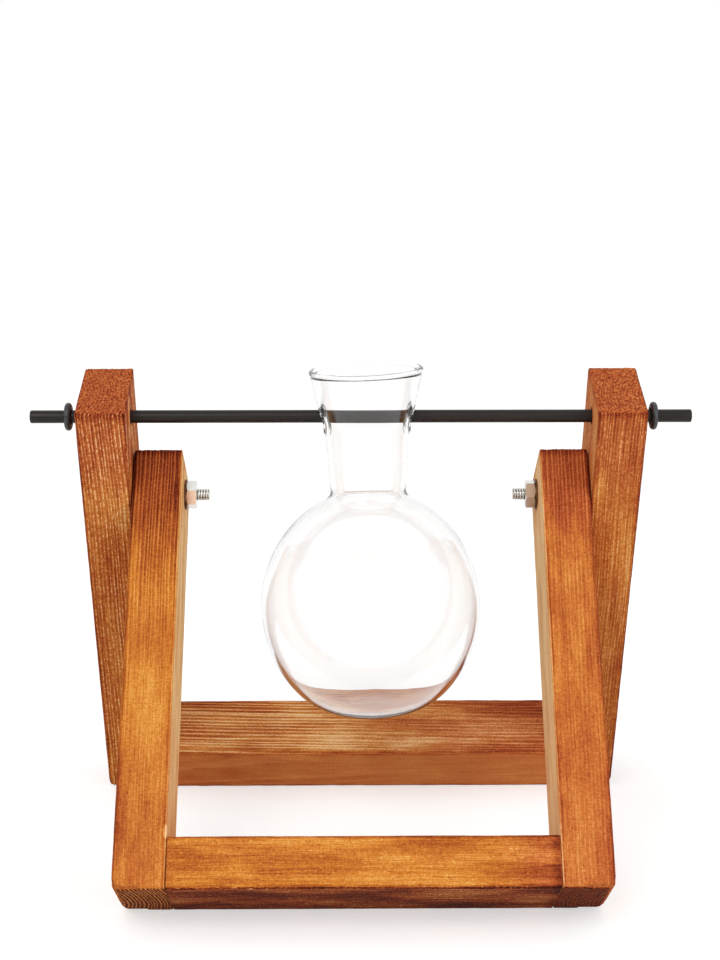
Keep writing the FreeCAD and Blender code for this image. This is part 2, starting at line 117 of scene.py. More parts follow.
def link_rings(rings, closed=False, skip=None):
    """Faces between each ring of vertex numbers and the next. One number repeated makes a tip."""
    pairs = list(zip(rings, rings[1:]))
    if closed:
        pairs.append((rings[-1], rings[0]))
    faces = []
    for row, (first, second) in enumerate(pairs):
        for step in range(len(first)):
            if skip and skip(row, step):
                continue
            after = (step + 1) % len(first)
            corners = list(dict.fromkeys([first[step], first[after], second[after], second[step]]))
            if len(corners) > 2:
                faces.append(corners)
    return faces


def lathe(profile, segments, axis_place, closed=True):
    """Turn a profile of (along, radius) pairs about X; the matrix places it, in millimetres."""
    vertices = []
    rings = []
    for along, radius in profile:
        start = len(vertices)
        if radius < TINY:
            vertices.append(axis_place @ Vector((along, 0, 0)) * MM)
            rings.append([start] * segments)
            continue
        for step in range(segments):
            angle = FULL_TURN * step / segments
            point = Vector((along, radius * math.cos(angle), radius * math.sin(angle)))
            vertices.append(axis_place @ point * MM)
        rings.append(list(range(start, start + segments)))
    return vertices, link_rings(rings, closed)


def arc_points(centre, radius, start, end, steps):
    """Points of an arc, both ends included."""
    points = []
    for step in range(steps + 1):
        angle = math.radians(start + (end - start) * step / steps)
        points.append((centre[0] + radius * math.cos(angle), centre[1] + radius * math.sin(angle)))
    return points


# Node material helpers

class Nodes:
    """The node tree of a new material, or of the world, with short calls for the usual nodes."""

    def __init__(self, owner, output="ShaderNodeOutputMaterial"):
        owner.use_nodes = True
        self.owner = owner
        self.tree = owner.node_tree
        self.tree.nodes.clear()
        self.output = self.tree.nodes.new(output)

    def feed(self, socket, source):
        """Link a socket to another, or set it to a plain value."""
        if isinstance(source, bpy.types.NodeSocket):
            self.tree.links.new(source, socket)
        elif source is not None:
            socket.default_value = source

    def node(self, kind, settings=None, **inputs):
        """A node with its settings, and its inputs by name with _ for each space."""
        made = self.tree.nodes.new(kind)
        for key, setting in (settings or {}).items():
            setattr(made, key, setting)
        for key, source in inputs.items():
            self.feed(made.inputs[key.replace("_", " ")], source)
        return made

    def math(self, operation, first, second=None, third=None, clamp=False):
        """One step of arithmetic on single values."""
        made = self.node("ShaderNodeMath", {"operation": operation, "use_clamp": clamp})
        for socket, source in zip(made.inputs, (first, second, third)):
            self.feed(socket, source)
        return made.outputs[0]

    def plus(self, first, second, clamp=False):
        return self.math("ADD", first, second, clamp=clamp)

    def minus(self, first, second):
        return self.math("SUBTRACT", first, second)

    def times(self, first, second):
        return self.math("MULTIPLY", first, second)

    def weigh(self, share, weight, onto, clamp=False):
        """A share times its weight, plus what it is laid onto."""
        return self.math("MULTIPLY_ADD", share, weight, onto, clamp)

    def length_of(self, first, second):
        """Length of a flat vector."""
        return self.math("SQRT", self.plus(self.times(first, first), self.times(second, second)))

    def attribute(self, name):
        """Three values that the mesh stores, one socket each."""
        made = self.node("ShaderNodeAttribute", {"attribute_name": name})
        return self.node("ShaderNodeSeparateXYZ", Vector=made.outputs["Vector"]).outputs

    def place(self, *stretch):
        """Place on the object in metres, stretched along each axis if three factors are given."""
        place = self.node("ShaderNodeTexCoord").outputs["Object"]
        if not stretch:
            return place
        return self.node("ShaderNodeMapping", Vector=place, Scale=stretch).outputs[0]

    def join(self, x, y, z):
        """A vector of three values."""
        return self.node("ShaderNodeCombineXYZ", X=x, Y=y, Z=z).outputs[0]

    def noise(self, vector, scale, detail, roughness=0.5):
        """Soft noise from 0 to 1."""
        made = self.node("ShaderNodeTexNoise", Vector=vector, Scale=scale, Detail=detail,
                         Roughness=roughness)
        return made.outputs["Fac"]

    def spread(self, source, low, high):
        """Map the stretch of values from low to high smoothly onto 0 to 1."""
        made = self.node("ShaderNodeMapRange", {"interpolation_type": "SMOOTHSTEP"})
        for socket, setting in zip(made.inputs, (source, low, high, 0.0, 1.0)):
            self.feed(socket, setting)
        return made.outputs[0]

    def ramp(self, source, stops):
        """Colours by value, from (value, colour) stops."""
        made = self.tree.nodes.new("ShaderNodeValToRGB")
        self.feed(made.inputs[0], source)
        elements = made.color_ramp.elements
        while len(elements) < len(stops):
            elements.new(0.5)
        for element, (value, shade) in zip(elements, stops):
            element.position = value
            element.color = shade
        return made.outputs[0]

    def mix(self, share, first, second):
        """A colour between two."""
        made = self.node("ShaderNodeMix", {"data_type": "RGBA"})
        colour_inputs = [socket for socket in made.inputs if socket.type == "RGBA"]
        self.feed(made.inputs[0], share)
        self.feed(colour_inputs[0], first)
        self.feed(colour_inputs[1], second)
        return next(socket for socket in made.outputs if socket.type == "RGBA")

    def bump(self, height, distance, strength):
        """A normal from a height of 0 to 1 times a distance in metres."""
        return self.node("ShaderNodeBump", Height=height, Distance=distance, Strength=strength).outputs[0]

    def surface(self, **inputs):
        """The usual shader, with its inputs by name."""
        return self.node("ShaderNodeBsdfPrincipled", **inputs).outputs[0]

    def finish(self, shader, socket="Surface"):
        """Send a shader to the output, and return what the tree belongs to."""
        self.tree.links.new(shader, self.output.inputs[socket])
        return self.owner


def new_nodes(name):
    """The nodes of a new material."""
    return Nodes(bpy.data.materials.new(name))


def colour(red, green, blue):
    """A screen colour of 0 to 255 as the linear colour that a shader takes."""
    linear = []
    for level in (red, green, blue):
        share = level / 255
        linear.append(share / 12.92 if share <= 0.04045 else ((share + 0.055) / 1.055) ** 2.4)
    return (*linear, 1.0)


# Shape of the wooden sticks

# Mesh lines: near the arrises, between them, and along the grain
EDGE_LINES = 4
EDGE_STEP = 0.32
EDGE_REACH = 1.4
ACROSS_STEP = 0.5
ALONG_STEP = 2.6

# Rounding of the arrises: usual, its unevenness, where sticks meet, and more at worn feet
ARRIS_ROUND = 1.2
ARRIS_UNEVEN = 0.35
ARRIS_SCALE = 0.16
JOINT_ROUND = 0.25
FOOT_WEAR = 1.6
FOOT_WEAR_REACH = 4.0

# Ridges over the whole skin and chips on the arrises, as (scale along, scale across, depth)
RIDGES = (0.06, 1.1, 0.05)
CHIPS = (0.25, 0.8, 0.3)
CHIP_START = 0.15

# How far a stick's seed moves it in the noise of its ridges and of its chips
RIDGE_SHIFT = Vector((3.1, 0, 0))
CHIP_SHIFT = Vector((0, 1.7, 0))

# Notches of the saw on a leg's upper end, as (scale, layer of the noise, depth)
NOTCHES = (1.25, 7.3, 0.9)

# Holes are (across, height from the pivot, diameter)
PIVOT_HOLE = (0.0, 0.0, 5.0)
ROD_HOLE = (0.0, ROD_RISE, 5.4)
HOLE_SEGMENTS = 48
HOLE_OVERRUN = 2


def grid_lines(low, high, step):
    """Grid places from low to high: close together in the rounded edges, even between them."""
    near = [EDGE_STEP * count for count in range(EDGE_LINES)]
    inside = high - EDGE_REACH - (low + EDGE_REACH)
    count = max(2, round(inside / step))
    between = [low + EDGE_REACH + inside * index / count for index in range(count + 1)]
    return [low + reach for reach in near] + between + [high - reach for reach in reversed(near)]


def box_grid(low, high, steps):
    """The skin of a box as square meshes with shared edges."""
    lines = [grid_lines(low[axis], high[axis], steps[axis]) for axis in range(3)]
    index_of = {}
    vertices = []
    faces = []

    def vertex(key):
        if key not in index_of:
            index_of[key] = len(vertices)
            vertices.append(Vector([lines[axis][key[axis]] for axis in range(3)]))
        return index_of[key]

    for axis in range(3):
        first, second = [other for other in range(3) if other != axis]
        for end in (0, len(lines[axis]) - 1):
            for i in range(len(lines[first]) - 1):
                for j in range(len(lines[second]) - 1):
                    corners = []
                    for di, dj in ((0, 0), (1, 0), (1, 1), (0, 1)):
                        key = [0, 0, 0]
                        key[axis] = end
                        key[first] = i + di
                        key[second] = j + dj
                        corners.append(vertex(tuple(key)))
                    faces.append(corners)
    return vertices, faces


def edge_radii(point, low, high, grain, seed):
    """How far a stick is rounded along each axis at a point: little where it meets another."""
    uneven = noise.noise(Vector((point.x * ARRIS_SCALE + seed, point.y * ARRIS_SCALE,
                                 point.z * ARRIS_SCALE)))
    radii = [ARRIS_ROUND + ARRIS_UNEVEN * uneven] * 3
    middle_x = (low.x + high.x) / 2
    if grain == X or point.x * middle_x < middle_x ** 2:
        radii[X] = JOINT_ROUND
    else:
        wear = FOOT_WEAR * max(0.0, 1 - (point.z - low.z) / FOOT_WEAR_REACH)
        radii = [radius + wear for radius in radii]
    return radii


def drawn_noise(point, grain, along, across, shift):
    """Noise that is drawn out along a stick's grain."""
    stretched = Vector([point[axis] * (along if axis == grain else across) for axis in range(3)])
    return noise.noise(stretched + shift)


def worn_point(point, low, high, grain, seed):
    """Round a box's edge at a point of its skin and wear it a little inwards."""
    radii = edge_radii(point, low, high, grain, seed)
    core = Vector([min(max(point[axis], low[axis] + radii[axis]), high[axis] - radii[axis])
                   for axis in range(3)])
    away = Vector([(point[axis] - core[axis]) / radii[axis] for axis in range(3)])
    outward = away.normalized()
    rounded = core + Vector([outward[axis] * radii[axis] for axis in range(3)])
    along, across, depth = RIDGES
    ridges = drawn_noise(point, grain, along, across, RIDGE_SHIFT * seed)
    sunk = depth * (0.5 + 0.5 * ridges)
    on_arris = sum(1 for share in away if abs(share) > TINY) > 1
    if on_arris:
        along, across, depth = CHIPS
        chips = drawn_noise(point, grain, along, across, CHIP_SHIFT * seed)
        sunk += depth * max(0.0, chips - CHIP_START)
    return rounded - outward * sunk


def saw_notched(point, rounded, high):
    """Small notches that a saw leaves on the upper edges of a leg's end."""
    if point.z < high.z - TINY:
        return rounded
    scale, layer, depth = NOTCHES
    notch = noise.noise(Vector((point.x * scale, point.y * scale, layer)))
    rounded.z -= depth * max(0.0, notch)
    return rounded


def cut_hole(piece, place, low_x, high_x, across, height, diameter):
    """Bore a hole along X through a leg."""
    ends = (low_x - HOLE_OVERRUN, high_x + HOLE_OVERRUN)
    profile = [(ends[0], 0), (ends[0], diameter / 2), (ends[1], diameter / 2), (ends[1], 0)]
    axis = place @ Matrix.Translation((0, across, height))
    vertices, faces = lathe(profile, HOLE_SEGMENTS, axis, closed=False)
    cutter = mesh_object("cutter", vertices, faces)
    modifier = piece.modifiers.new("hole", "BOOLEAN")
    modifier.operation = "DIFFERENCE"
    modifier.solver = "EXACT"
    modifier.object = cutter
    bpy.context.view_layer.update()
    evaluated = piece.evaluated_get(bpy.context.evaluated_depsgraph_get())
    mesh = bpy.data.meshes.new_from_object(evaluated)
    piece.modifiers.clear()
    piece.data = mesh
    bpy.data.objects.remove(cutter)


def make_stick(name, node, body, place, grain, seed, holes, look):
    """One stick of wood, fitted to its CAD node: grain is the axis that its fibres follow."""
    low, high = local_box(node, place)
    steps = [ALONG_STEP if axis == grain else ACROSS_STEP for axis in range(3)]
    flat, faces = box_grid(low, high, steps)
    shaped = []
    for point in flat:
        rounded = worn_point(point, low, high, grain, seed)
        if grain == Z:
            rounded = saw_notched(point, rounded, high)
        shaped.append(rounded)
    matrix = TO_METRES @ place
    piece = mesh_object(name, [matrix @ point for point in shaped], faces)
    for across, height, diameter in holes:
        cut_hole(piece, place, low.x, high.x, across, height, diameter)

    # Where each point lies in the wood: two ways across from the middle, and down from the top
    centre = (low + high) / 2
    first, second = [axis for axis in range(3) if axis != grain]
    inverse = matrix.inverted()
    final = [inverse @ vertex.co for vertex in piece.data.vertices]
    keep_points(piece, "grain_point", [(point[first] - centre[first], point[second] - centre[second],
                                        high[grain] - point[grain]) for point in final])
    size = high - low
    # Where shade is painted round each hole: across, down from the top, and radius
    marks = [(across - centre.y, high.z - height, diameter / 2) for across, height, diameter in holes]
    wood = Wood(f"{name}_wood", (size[first], size[second], size[grain]), seed, look)
    piece.data.materials.append(wood.material(marks))
    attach(piece, body)
    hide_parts(node)


# Look of the wood

GOLDEN = [(0.0, colour(58, 22, 10)), (0.2, colour(112, 50, 20)), (0.4, colour(168, 86, 32)),
          (0.58, colour(203, 124, 46)), (0.76, colour(224, 160, 80)), (1.0, colour(248, 212, 156))]
RUSSET = [(0.0, colour(54, 15, 8)), (0.2, colour(110, 39, 20)), (0.4, colour(154, 68, 36)),
          (0.58, colour(190, 101, 52)), (0.76, colour(218, 137, 77)), (1.0, colour(246, 198, 144))]


@dataclass
class Look:
    """How one stick looks. A tone is a place on the stain ramps, from 0, dark, to 1, pale."""

    pith: tuple  # where the tree's middle lies from the stick's, across it
    ring_gap: float  # from one year ring to the next
    slope: tuple  # how far the pith drifts for each millimetre down the stick
    level: float  # tone of the plain wood
    russet: float  # 0 is the golden stain, 1 the russet one
    rings: float  # tone of the late wood
    fibres: float  # tone of the fibres
    streaks: float  # tone of long streaks
    flecks: float  # tone of short pale flecks
    top_dark: float  # how much darker the scorched top is
    dark_end: float = 36.0  # how far down that scorch reaches
    stitch: float = 0.0  # tone of saw marks across the late wood
    clear: tuple = (0.0, 0.0, 1.0)  # how much the rings fade, from and to which share of the length
    bands: float = 0.18  # tone of the rings on the lower end's face
    soak: float = 0.0  # how much redder the lower half is
    dusk: float = 0.0  # how much darker the lower half is
    fade: tuple = None  # (place across, tone) of a long shade on one side of that place
    # Some faces in sides are lighter or darker by painted light and shade
    sides: tuple = ()  # (axis, sign, tone, contrast, redness) for a face; the last escapes the scorch
    chip: tuple = None  # (middle, size) three times over, for a pale chip


@dataclass
class Grain:
    """A noise drawn out along the fibres. The band of its values is spread from 0 to 1."""

    across: float
    along: float
    layer: float = 0.0
    detail: float = 2.0
    roughness: float = 0.5
    band: tuple = None


WANDER = Grain(0.02, 0.012)
WAVES = Grain(0.5, 0.05, 1.3)
FIBRE = Grain(2.9, 0.07, 0.0, 3.0, 0.6, (0.32, 0.68))
STREAK = Grain(1.0, 0.014, 3.1, 2.0, 0.5, (0.35, 0.65))
PATCH = Grain(0.09, 0.03, 9.7, 3.0, 0.55, (0.3, 0.7))
CHATTER = Grain(0.9, 1.9, 5.9, 2.0, 0.6, (0.3, 0.7))
FLECK = Grain(3.0, 0.55, 2.2, 2.0, 0.55, (0.56, 0.72))
PORE = Grain(4.2, 0.5, 7.7, 2.0, 0.5, (0.4, 0.24))
SAW = Grain(0.5, 1.1, 8.3, 2.0, 0.6, (0.46, 0.6))
RAGGED = Grain(0.9, 0.13, 4.4, 3.0)
TOP_REACH = Grain(0.3, 0.0)
SPECKLE = Grain(1.1, 0.0, 0.0, 4.0, 0.85, (0.36, 0.64))

# Year rings: how they wander, how uneven and wavy they are, and where the late wood lies in one
SEED_SHIFT = 17.3
PITH_WANDER = 3.0
UNEVEN_SCALE = 0.21
UNEVEN_RINGS = 2.0
WAVY_RINGS = 0.5
LATE_START = (0.35, 0.8)
LATE_END = (1.0, 0.88)

# Tones that all sticks share
PATCH_TONE = 0.16
CHATTER_TONE = 0.13
PORE_TONE = -0.22
CHIP_TONE = 0.28
SCORCH_TONE = -0.28
# A pale line along the arrises: partly wear, partly a painted highlight
WEAR_AND_HIGHLIGHT_TONE = 0.1
# Painted shade round the holes
HOLE_SHADE_TONE = -0.42
TOP_EDGE_TONE = -0.2
TOP_RING_TONE = 0.1
END_TONE = -0.43
TOP_END_TONE = 0.3
TOP_BANDS = 0.1
SPECKLE_TONE = 0.46
SOAK_TONE = -0.1

# Redness: of all, where patches are pale, on the ends, and in the scorch
STAIN_REDNESS = 0.2
PATCH_REDNESS = -0.4
END_REDNESS = -0.1
SCORCH_REDNESS = 0.75

# Where each effect fades, mostly as distances from an arris or end
FACE_BAND = (0.75, 0.35)
WEAR_AND_HIGHLIGHT_BAND = (0.9, 0.35)
WEAR_AND_HIGHLIGHT_PATCHES = (0.4, 0.55)
END_BAND = (0.5, 0.15)
TOP_END_BAND = (8.0, 4.0)
FADE_BAND = (4, 6)
CHIP_BAND = (1.0, 0.5)
SCORCH_WIDTH = (3.2, 0.1)
TOP_EDGE_WIDTH = (7.0, 1.0)
HOLE_SHADE_WIDTH = 1.0
LOWER_HALF = (0.5, 0.95)
TOP_REACH_FROM = 0.6
TOP_REACH_TO = 0.2
FADE_WAVER = 6.0
SPARED_SHARE = -0.9

# Relief and gloss
LATE_HEIGHT = 0.5
FIBRE_HEIGHT = 0.4
PORE_HEIGHT = -0.5
RELIEF_METRES = 0.00025
RELIEF_STRENGTH = 0.7
FIBRE_ROUGHNESS = 0.12
WOOD_ROUGHNESS = 0.68
WOOD_GLOSS = 0.05


class Wood(Nodes):
    """Stained pine. All that shades it adds up to one tone, which two stains turn into colour.

    u and v lie across the grain, from the stick's middle, and w along it, from its top.
    """

    def __init__(self, name, size, seed, look):
        super().__init__(bpy.data.materials.new(name))
        self.half_u, self.half_v, self.length = size[0] / 2, size[1] / 2, size[2]
        self.u, self.v, self.w = self.attribute("grain_point")
        self.shift = seed * SEED_SHIFT
        self.look = look
        self.tone = None
        self.redness = None
        self.late = self.late_wood()
        self.fibre = self.grain(FIBRE)
        self.patch = self.grain(PATCH)
        self.pore = self.grain(PORE)
        self.ragged = self.grain(RAGGED)

    def grain(self, kind):
        """One of the noises above, in this stick's own layer."""
        place = self.join(self.times(self.u, kind.across), self.times(self.v, kind.across),
                          self.weigh(self.w, kind.along, self.shift + kind.layer))
        values = self.noise(place, 1.0, kind.detail, kind.roughness)
        return self.spread(values, *kind.band) if kind.band else values

    def centred(self, share, weight):
        """A share of 0 to 1, weighted and moved to lie about 0."""
        return self.weigh(share, weight, -weight / 2)

    def shade(self, share, tone):
        """Add a share of a tone to the wood's."""
        self.tone = self.weigh(share, tone, self.tone)

    def ragged_edge(self, width, start):
        """A distance that varies along the stick."""
        return self.weigh(self.ragged, width, start)

    def late_wood(self):
        """1 in the late wood of each year ring, 0 between."""
        look = self.look
        wander = self.centred(self.grain(WANDER), PITH_WANDER)
        drift_u = self.weigh(self.w, look.slope[0], look.pith[0])
        drift_v = self.weigh(self.w, look.slope[1], look.pith[1])
        from_u = self.plus(self.minus(self.u, drift_u), wander)
        radius = self.length_of(from_u, self.minus(self.v, drift_v))
        along_radius = self.join(self.times(radius, UNEVEN_SCALE), self.shift, 0.0)
        uneven = self.noise(along_radius, 1.0, 1.0)
        phase = self.weigh(uneven, UNEVEN_RINGS, self.math("DIVIDE", radius, look.ring_gap))
        ring = self.math("FRACT", self.weigh(self.grain(WAVES), WAVY_RINGS, phase))
        return self.times(self.spread(ring, *LATE_START), self.spread(ring, *LATE_END))

    def detail(self):
        """Rings, fibres, streaks, patches, flecks, saw marks and pores, as a tone about 0."""
        look = self.look
        strength, start, end = look.clear
        clearing = self.spread(self.w, self.length * start, self.length * end)
        faint = self.weigh(clearing, -strength, 1.0)
        total = self.times(self.centred(self.late, look.rings), faint)
        for share, weight in ((self.fibre, look.fibres), (self.grain(STREAK), look.streaks),
                              (self.patch, PATCH_TONE), (self.grain(CHATTER), CHATTER_TONE)):
            total = self.plus(total, self.centred(share, weight))
        total = self.weigh(self.grain(FLECK), look.flecks, total)
        if look.stitch:
            marks = self.times(self.grain(SAW), self.late)
            total = self.weigh(marks, look.stitch, total)
        return self.weigh(self.pore, PORE_TONE, total)

    def shade_faces(self):
        """Start the tone and redness, with the faces that differ, some by painted light and shade. Returns
        the share of the last.
        """
        look = self.look
        contrast, tone, facing = 1.0, look.level, None
        self.redness = look.russet + STAIN_REDNESS
        for axis, sign, side_tone, side_contrast, side_redness in look.sides:
            reach, half = (self.u, self.half_u) if axis == "u" else (self.v, self.half_v)
            facing = self.spread(self.times(reach, sign), half - FACE_BAND[0], half - FACE_BAND[1])
            contrast = self.weigh(facing, side_contrast - 1, contrast)
            tone = self.weigh(facing, side_tone, tone)
            self.redness = self.weigh(facing, side_redness, self.redness)
        self.tone = self.weigh(self.detail(), contrast, tone)
        return facing

    def shade_chip(self):
        """A pale chip, as an ellipsoid in the wood."""
        squares = []
        for place, (centre, size) in zip((self.u, self.v, self.w), self.look.chip):
            away = self.math("DIVIDE", self.minus(place, centre), size)
            squares.append(self.times(away, away))
        ellipse = self.plus(self.plus(squares[0], squares[1]), squares[2])
        self.shade(self.spread(ellipse, *CHIP_BAND), CHIP_TONE)

    def shade_arrises(self):
        """Scorched arrises with a pale line along them, partly wear and partly a painted highlight."""
        inside_u = self.minus(self.half_u, self.math("ABSOLUTE", self.u))
        inside_v = self.minus(self.half_v, self.math("ABSOLUTE", self.v))
        nearest = self.math("MAXIMUM", inside_u, inside_v)
        self.shade(self.spread(nearest, self.ragged_edge(*SCORCH_WIDTH), 0.0), SCORCH_TONE)
        # Pale line on the arrises, wear and painted highlight
        wear_and_highlight = self.times(self.spread(nearest, *WEAR_AND_HIGHLIGHT_BAND), self.spread(self.ragged, *WEAR_AND_HIGHLIGHT_PATCHES))
        self.shade(wear_and_highlight, WEAR_AND_HIGHLIGHT_TONE)

    def shade_across(self):
        """A long shade from one place across the stick on."""
        place, tone = self.look.fade
        ragged_u = self.plus(self.u, self.centred(self.ragged, FADE_WAVER))
        self.shade(self.spread(ragged_u, place - FADE_BAND[0], place + FADE_BAND[1]), tone)

    def shade_hole(self, hole_v, hole_w, hole_radius):
        """A painted shade round a bored hole, where the gap round what passes through it lies in shade."""
        away = self.length_of(self.minus(self.v, hole_v), self.minus(self.w, hole_w))
        self.shade(self.spread(away, hole_radius + HOLE_SHADE_WIDTH, hole_radius), HOLE_SHADE_TONE)

    def shade_top(self, spared):
        """Scorch down from the top, in which the rings stand out, and return its share."""
        look = self.look
        reach = self.weigh(self.grain(TOP_REACH), look.dark_end, look.dark_end * TOP_REACH_FROM)
        burn = self.spread(self.w, reach, look.dark_end * TOP_REACH_TO)
        if spared is not None:
            burn = self.times(burn, self.weigh(spared, SPARED_SHARE, 1.0))
        self.shade(self.spread(self.w, self.ragged_edge(*TOP_EDGE_WIDTH), 0.0), TOP_EDGE_TONE)
        self.shade(burn, -look.top_dark)
        self.shade(self.times(burn, self.late), TOP_RING_TONE)
        return burn

    def shade_ends(self):
        """End grain in place of the rest on both end faces, and return its share."""
        look = self.look
        ends = self.math("MINIMUM", self.w, self.minus(self.length, self.w))
        share = self.spread(ends, *END_BAND)
        at_top = self.spread(self.w, *TOP_END_BAND)
        bands = self.weigh(at_top, TOP_BANDS - look.bands, look.bands)
        plain = self.weigh(at_top, TOP_END_TONE, look.level + END_TONE)
        end_tone = self.plus(self.times(self.late, bands), plain)
        end_tone = self.plus(end_tone, self.centred(self.grain(SPECKLE), SPECKLE_TONE))
        self.tone = self.plus(self.times(self.tone, self.minus(1.0, share)),
                              self.times(end_tone, share))
        return share

    def material(self, holes):
        """The finished material, with its holes, round which shade is painted, as (across, down from the
        top, radius).
        """
        look = self.look
        spared = self.shade_faces()
        if look.chip:
            self.shade_chip()
        self.shade_arrises()
        if look.fade:
            self.shade_across()
        for hole in holes:
            self.shade_hole(*hole)
        burn = self.shade_top(spared)
        end_face = self.shade_ends()
        soaked = self.spread(self.w, self.length * LOWER_HALF[0], self.length * LOWER_HALF[1])
        self.shade(soaked, look.soak * SOAK_TONE - look.dusk)

        redness = self.weigh(soaked, look.soak, self.redness)
        redness = self.plus(self.weigh(self.patch, PATCH_REDNESS, redness),
                            self.times(end_face, END_REDNESS), clamp=True)
        redness = self.weigh(burn, SCORCH_REDNESS, redness, clamp=True)
        base = self.mix(redness, self.ramp(self.tone, GOLDEN), self.ramp(self.tone, RUSSET))
        height = self.weigh(self.late, LATE_HEIGHT, self.times(self.fibre, FIBRE_HEIGHT))
        height = self.weigh(self.pore, PORE_HEIGHT, height)
        rough = self.weigh(self.fibre, FIBRE_ROUGHNESS, WOOD_ROUGHNESS)
        return self.finish(self.surface(Base_Color=base, Roughness=rough, Specular_IOR_Level=WOOD_GLOSS,
                                        Normal=self.bump(height, RELIEF_METRES, RELIEF_STRENGTH)))


# Node, body, place, grain, seed and holes of each stick, by the name of its piece
STICKS = {
    "front_left_stick": ("front_left_leg", "front_frame", FRONT_PLACE, Z, 1.0, [PIVOT_HOLE]),
    "front_right_stick": ("front_right_leg", "front_frame", FRONT_PLACE, Z, 2.0, [PIVOT_HOLE]),
    "front_bar": ("front_rail", "front_frame", FRONT_PLACE, X, 3.0, []),
    "rear_left_stick": ("rear_left_leg", "rear_frame", REAR_PLACE, Z, 4.0, [PIVOT_HOLE, ROD_HOLE]),
    "rear_right_stick": ("rear_right_leg", "rear_frame", REAR_PLACE, Z, 5.0, [PIVOT_HOLE, ROD_HOLE]),
    "rear_bar": ("rear_rail", "rear_frame", REAR_PLACE, X, 6.0, []),
}
LOOKS = {
    "front_left_stick": Look(
        pith=(-60.0, 3.0), ring_gap=1.2, slope=(0.008, 0.0), level=0.59, russet=0.05, rings=0.17,
        fibres=0.13, streaks=0.04, clear=(0.7, 0.25, 0.55), bands=0.55, flecks=0.1, top_dark=0.33,
        dark_end=52.0, soak=0.45, sides=[("u", 1, 0.34, 0.9, 0.25)],
        chip=((8.6, 1.0), (-17.0, 2.0), (144.0, 2.6))),
    "front_right_stick": Look(
        pith=(50.0, 4.0), ring_gap=1.3, slope=(-0.01, 0.0), level=0.58, russet=0.5, rings=0.1,
        fibres=0.11, streaks=0.05, clear=(0.3, 0.25, 0.55), flecks=0.14, top_dark=0.12,
        dark_end=40.0, soak=0.35, sides=[("u", -1, 0.41, 1.0, 0.1)]),
    "front_bar": Look(
        pith=(38.0, 10.0), ring_gap=1.5, slope=(0.01, 0.0), level=0.555, russet=0.05, rings=0.08,
        fibres=0.14, streaks=0.07, flecks=0.2, top_dark=0.11, dark_end=22.0,
        # The underside is painted darker and redder: painted shade
        sides=[("v", -1, -0.23, 2.8, 1.0)]),
    "rear_left_stick": Look(
        pith=(-30.0, -4.0), ring_gap=1.2, slope=(0.02, 0.01), level=0.57, russet=0.55, rings=0.12,
        fibres=0.2, streaks=0.1, flecks=0.34, top_dark=0.1, dusk=0.06, stitch=0.26),
    "rear_right_stick": Look(
        pith=(30.0, -6.0), ring_gap=1.1, slope=(0.0, 0.01), level=0.585, russet=0.55, rings=0.05,
        fibres=0.18, streaks=0.1, flecks=0.3, top_dark=0.08, soak=0.3, dusk=0.1, stitch=0.14,
        sides=[("u", 1, -0.16, 1.2, 0.3), ("u", -1, 0.08, 1.0, 0.3)]),
    "rear_bar": Look(
        pith=(-52.0, 12.0), ring_gap=2.1, slope=(0.03, 0.0), level=0.615, russet=0.5, rings=0.22,
        fibres=0.12, streaks=0.08, flecks=0.03, top_dark=0.2, dark_end=72.0, dusk=0.06,
        clear=(0.8, 0.66, 0.36), fade=(4.0, -0.1),
        # The first of these sides paints the top face lighter: painted light
        sides=[("v", 1, 0.19, 1.6, 0.1), ("u", -1, 0.1, 0.4, 0.45)]),
}


# Look of the metal, rubber and dowels

# Painted reflection and shade on a nut's flat, by the value that the flat keeps: plain below, then three
# tints
FULL_REFLECTION = 0.5
FLAT_REFLECTION_TINTS = [(FULL_REFLECTION, colour(222, 178, 144)), (0.75, colour(181, 152, 130)), (1.0, colour(194, 178, 170))]
# Where the thread's grooves take painted shade, by their depth
GROOVE_SHADE_BAND = (0.35, 1.1)


def zinc_material():
    """Bright zinc plating, brushed and cloudy, with painted shade in the grooves and painted reflections
    and shade on some flats.
    """
    n = new_nodes("zinc_plate")
    brushed = n.noise(n.place(300.0, 2200.0, 2200.0), 1.0, 3.0)
    cloudy = n.noise(n.place(), 260.0, 3.0)
    tone = n.ramp(cloudy, [(0.3, colour(208, 207, 202)), (0.7, colour(236, 236, 232))])
    groove = n.attribute("groove")[0]
    # Painted shade in the thread's grooves
    tone = n.mix(n.spread(groove, *GROOVE_SHADE_BAND), tone, colour(122, 115, 102))
    flat_reflection = n.attribute("flat_reflection")[0]
    # Painted reflections of the wood, and painted shade, on the nut's flats
    tone = n.mix(n.spread(flat_reflection, 0.0, FULL_REFLECTION), tone, n.ramp(flat_reflection, FLAT_REFLECTION_TINTS))
    rough = n.weigh(cloudy, 0.15, 0.14)
    return n.finish(n.surface(Base_Color=tone, Roughness=rough, Metallic=1.0,
                              Normal=n.bump(brushed, 0.00002, 0.5)))


def washer_material():
    """Dark washers, cloudy with oil, tinted brown as a painted shade of the gap between nut and wood."""
    n = new_nodes("washer_with_painted_shade")
    cloudy = n.noise(n.place(), 420.0, 4.0)
    # The brown is painted shade of the gap between nut and wood
    tone = n.ramp(cloudy, [(0.3, colour(92, 62, 42)), (0.7, colour(128, 92, 66))])
    rough = n.weigh(cloudy, 0.25, 0.3)
    return n.finish(n.surface(Base_Color=tone, Roughness=rough, Metallic=1.0))


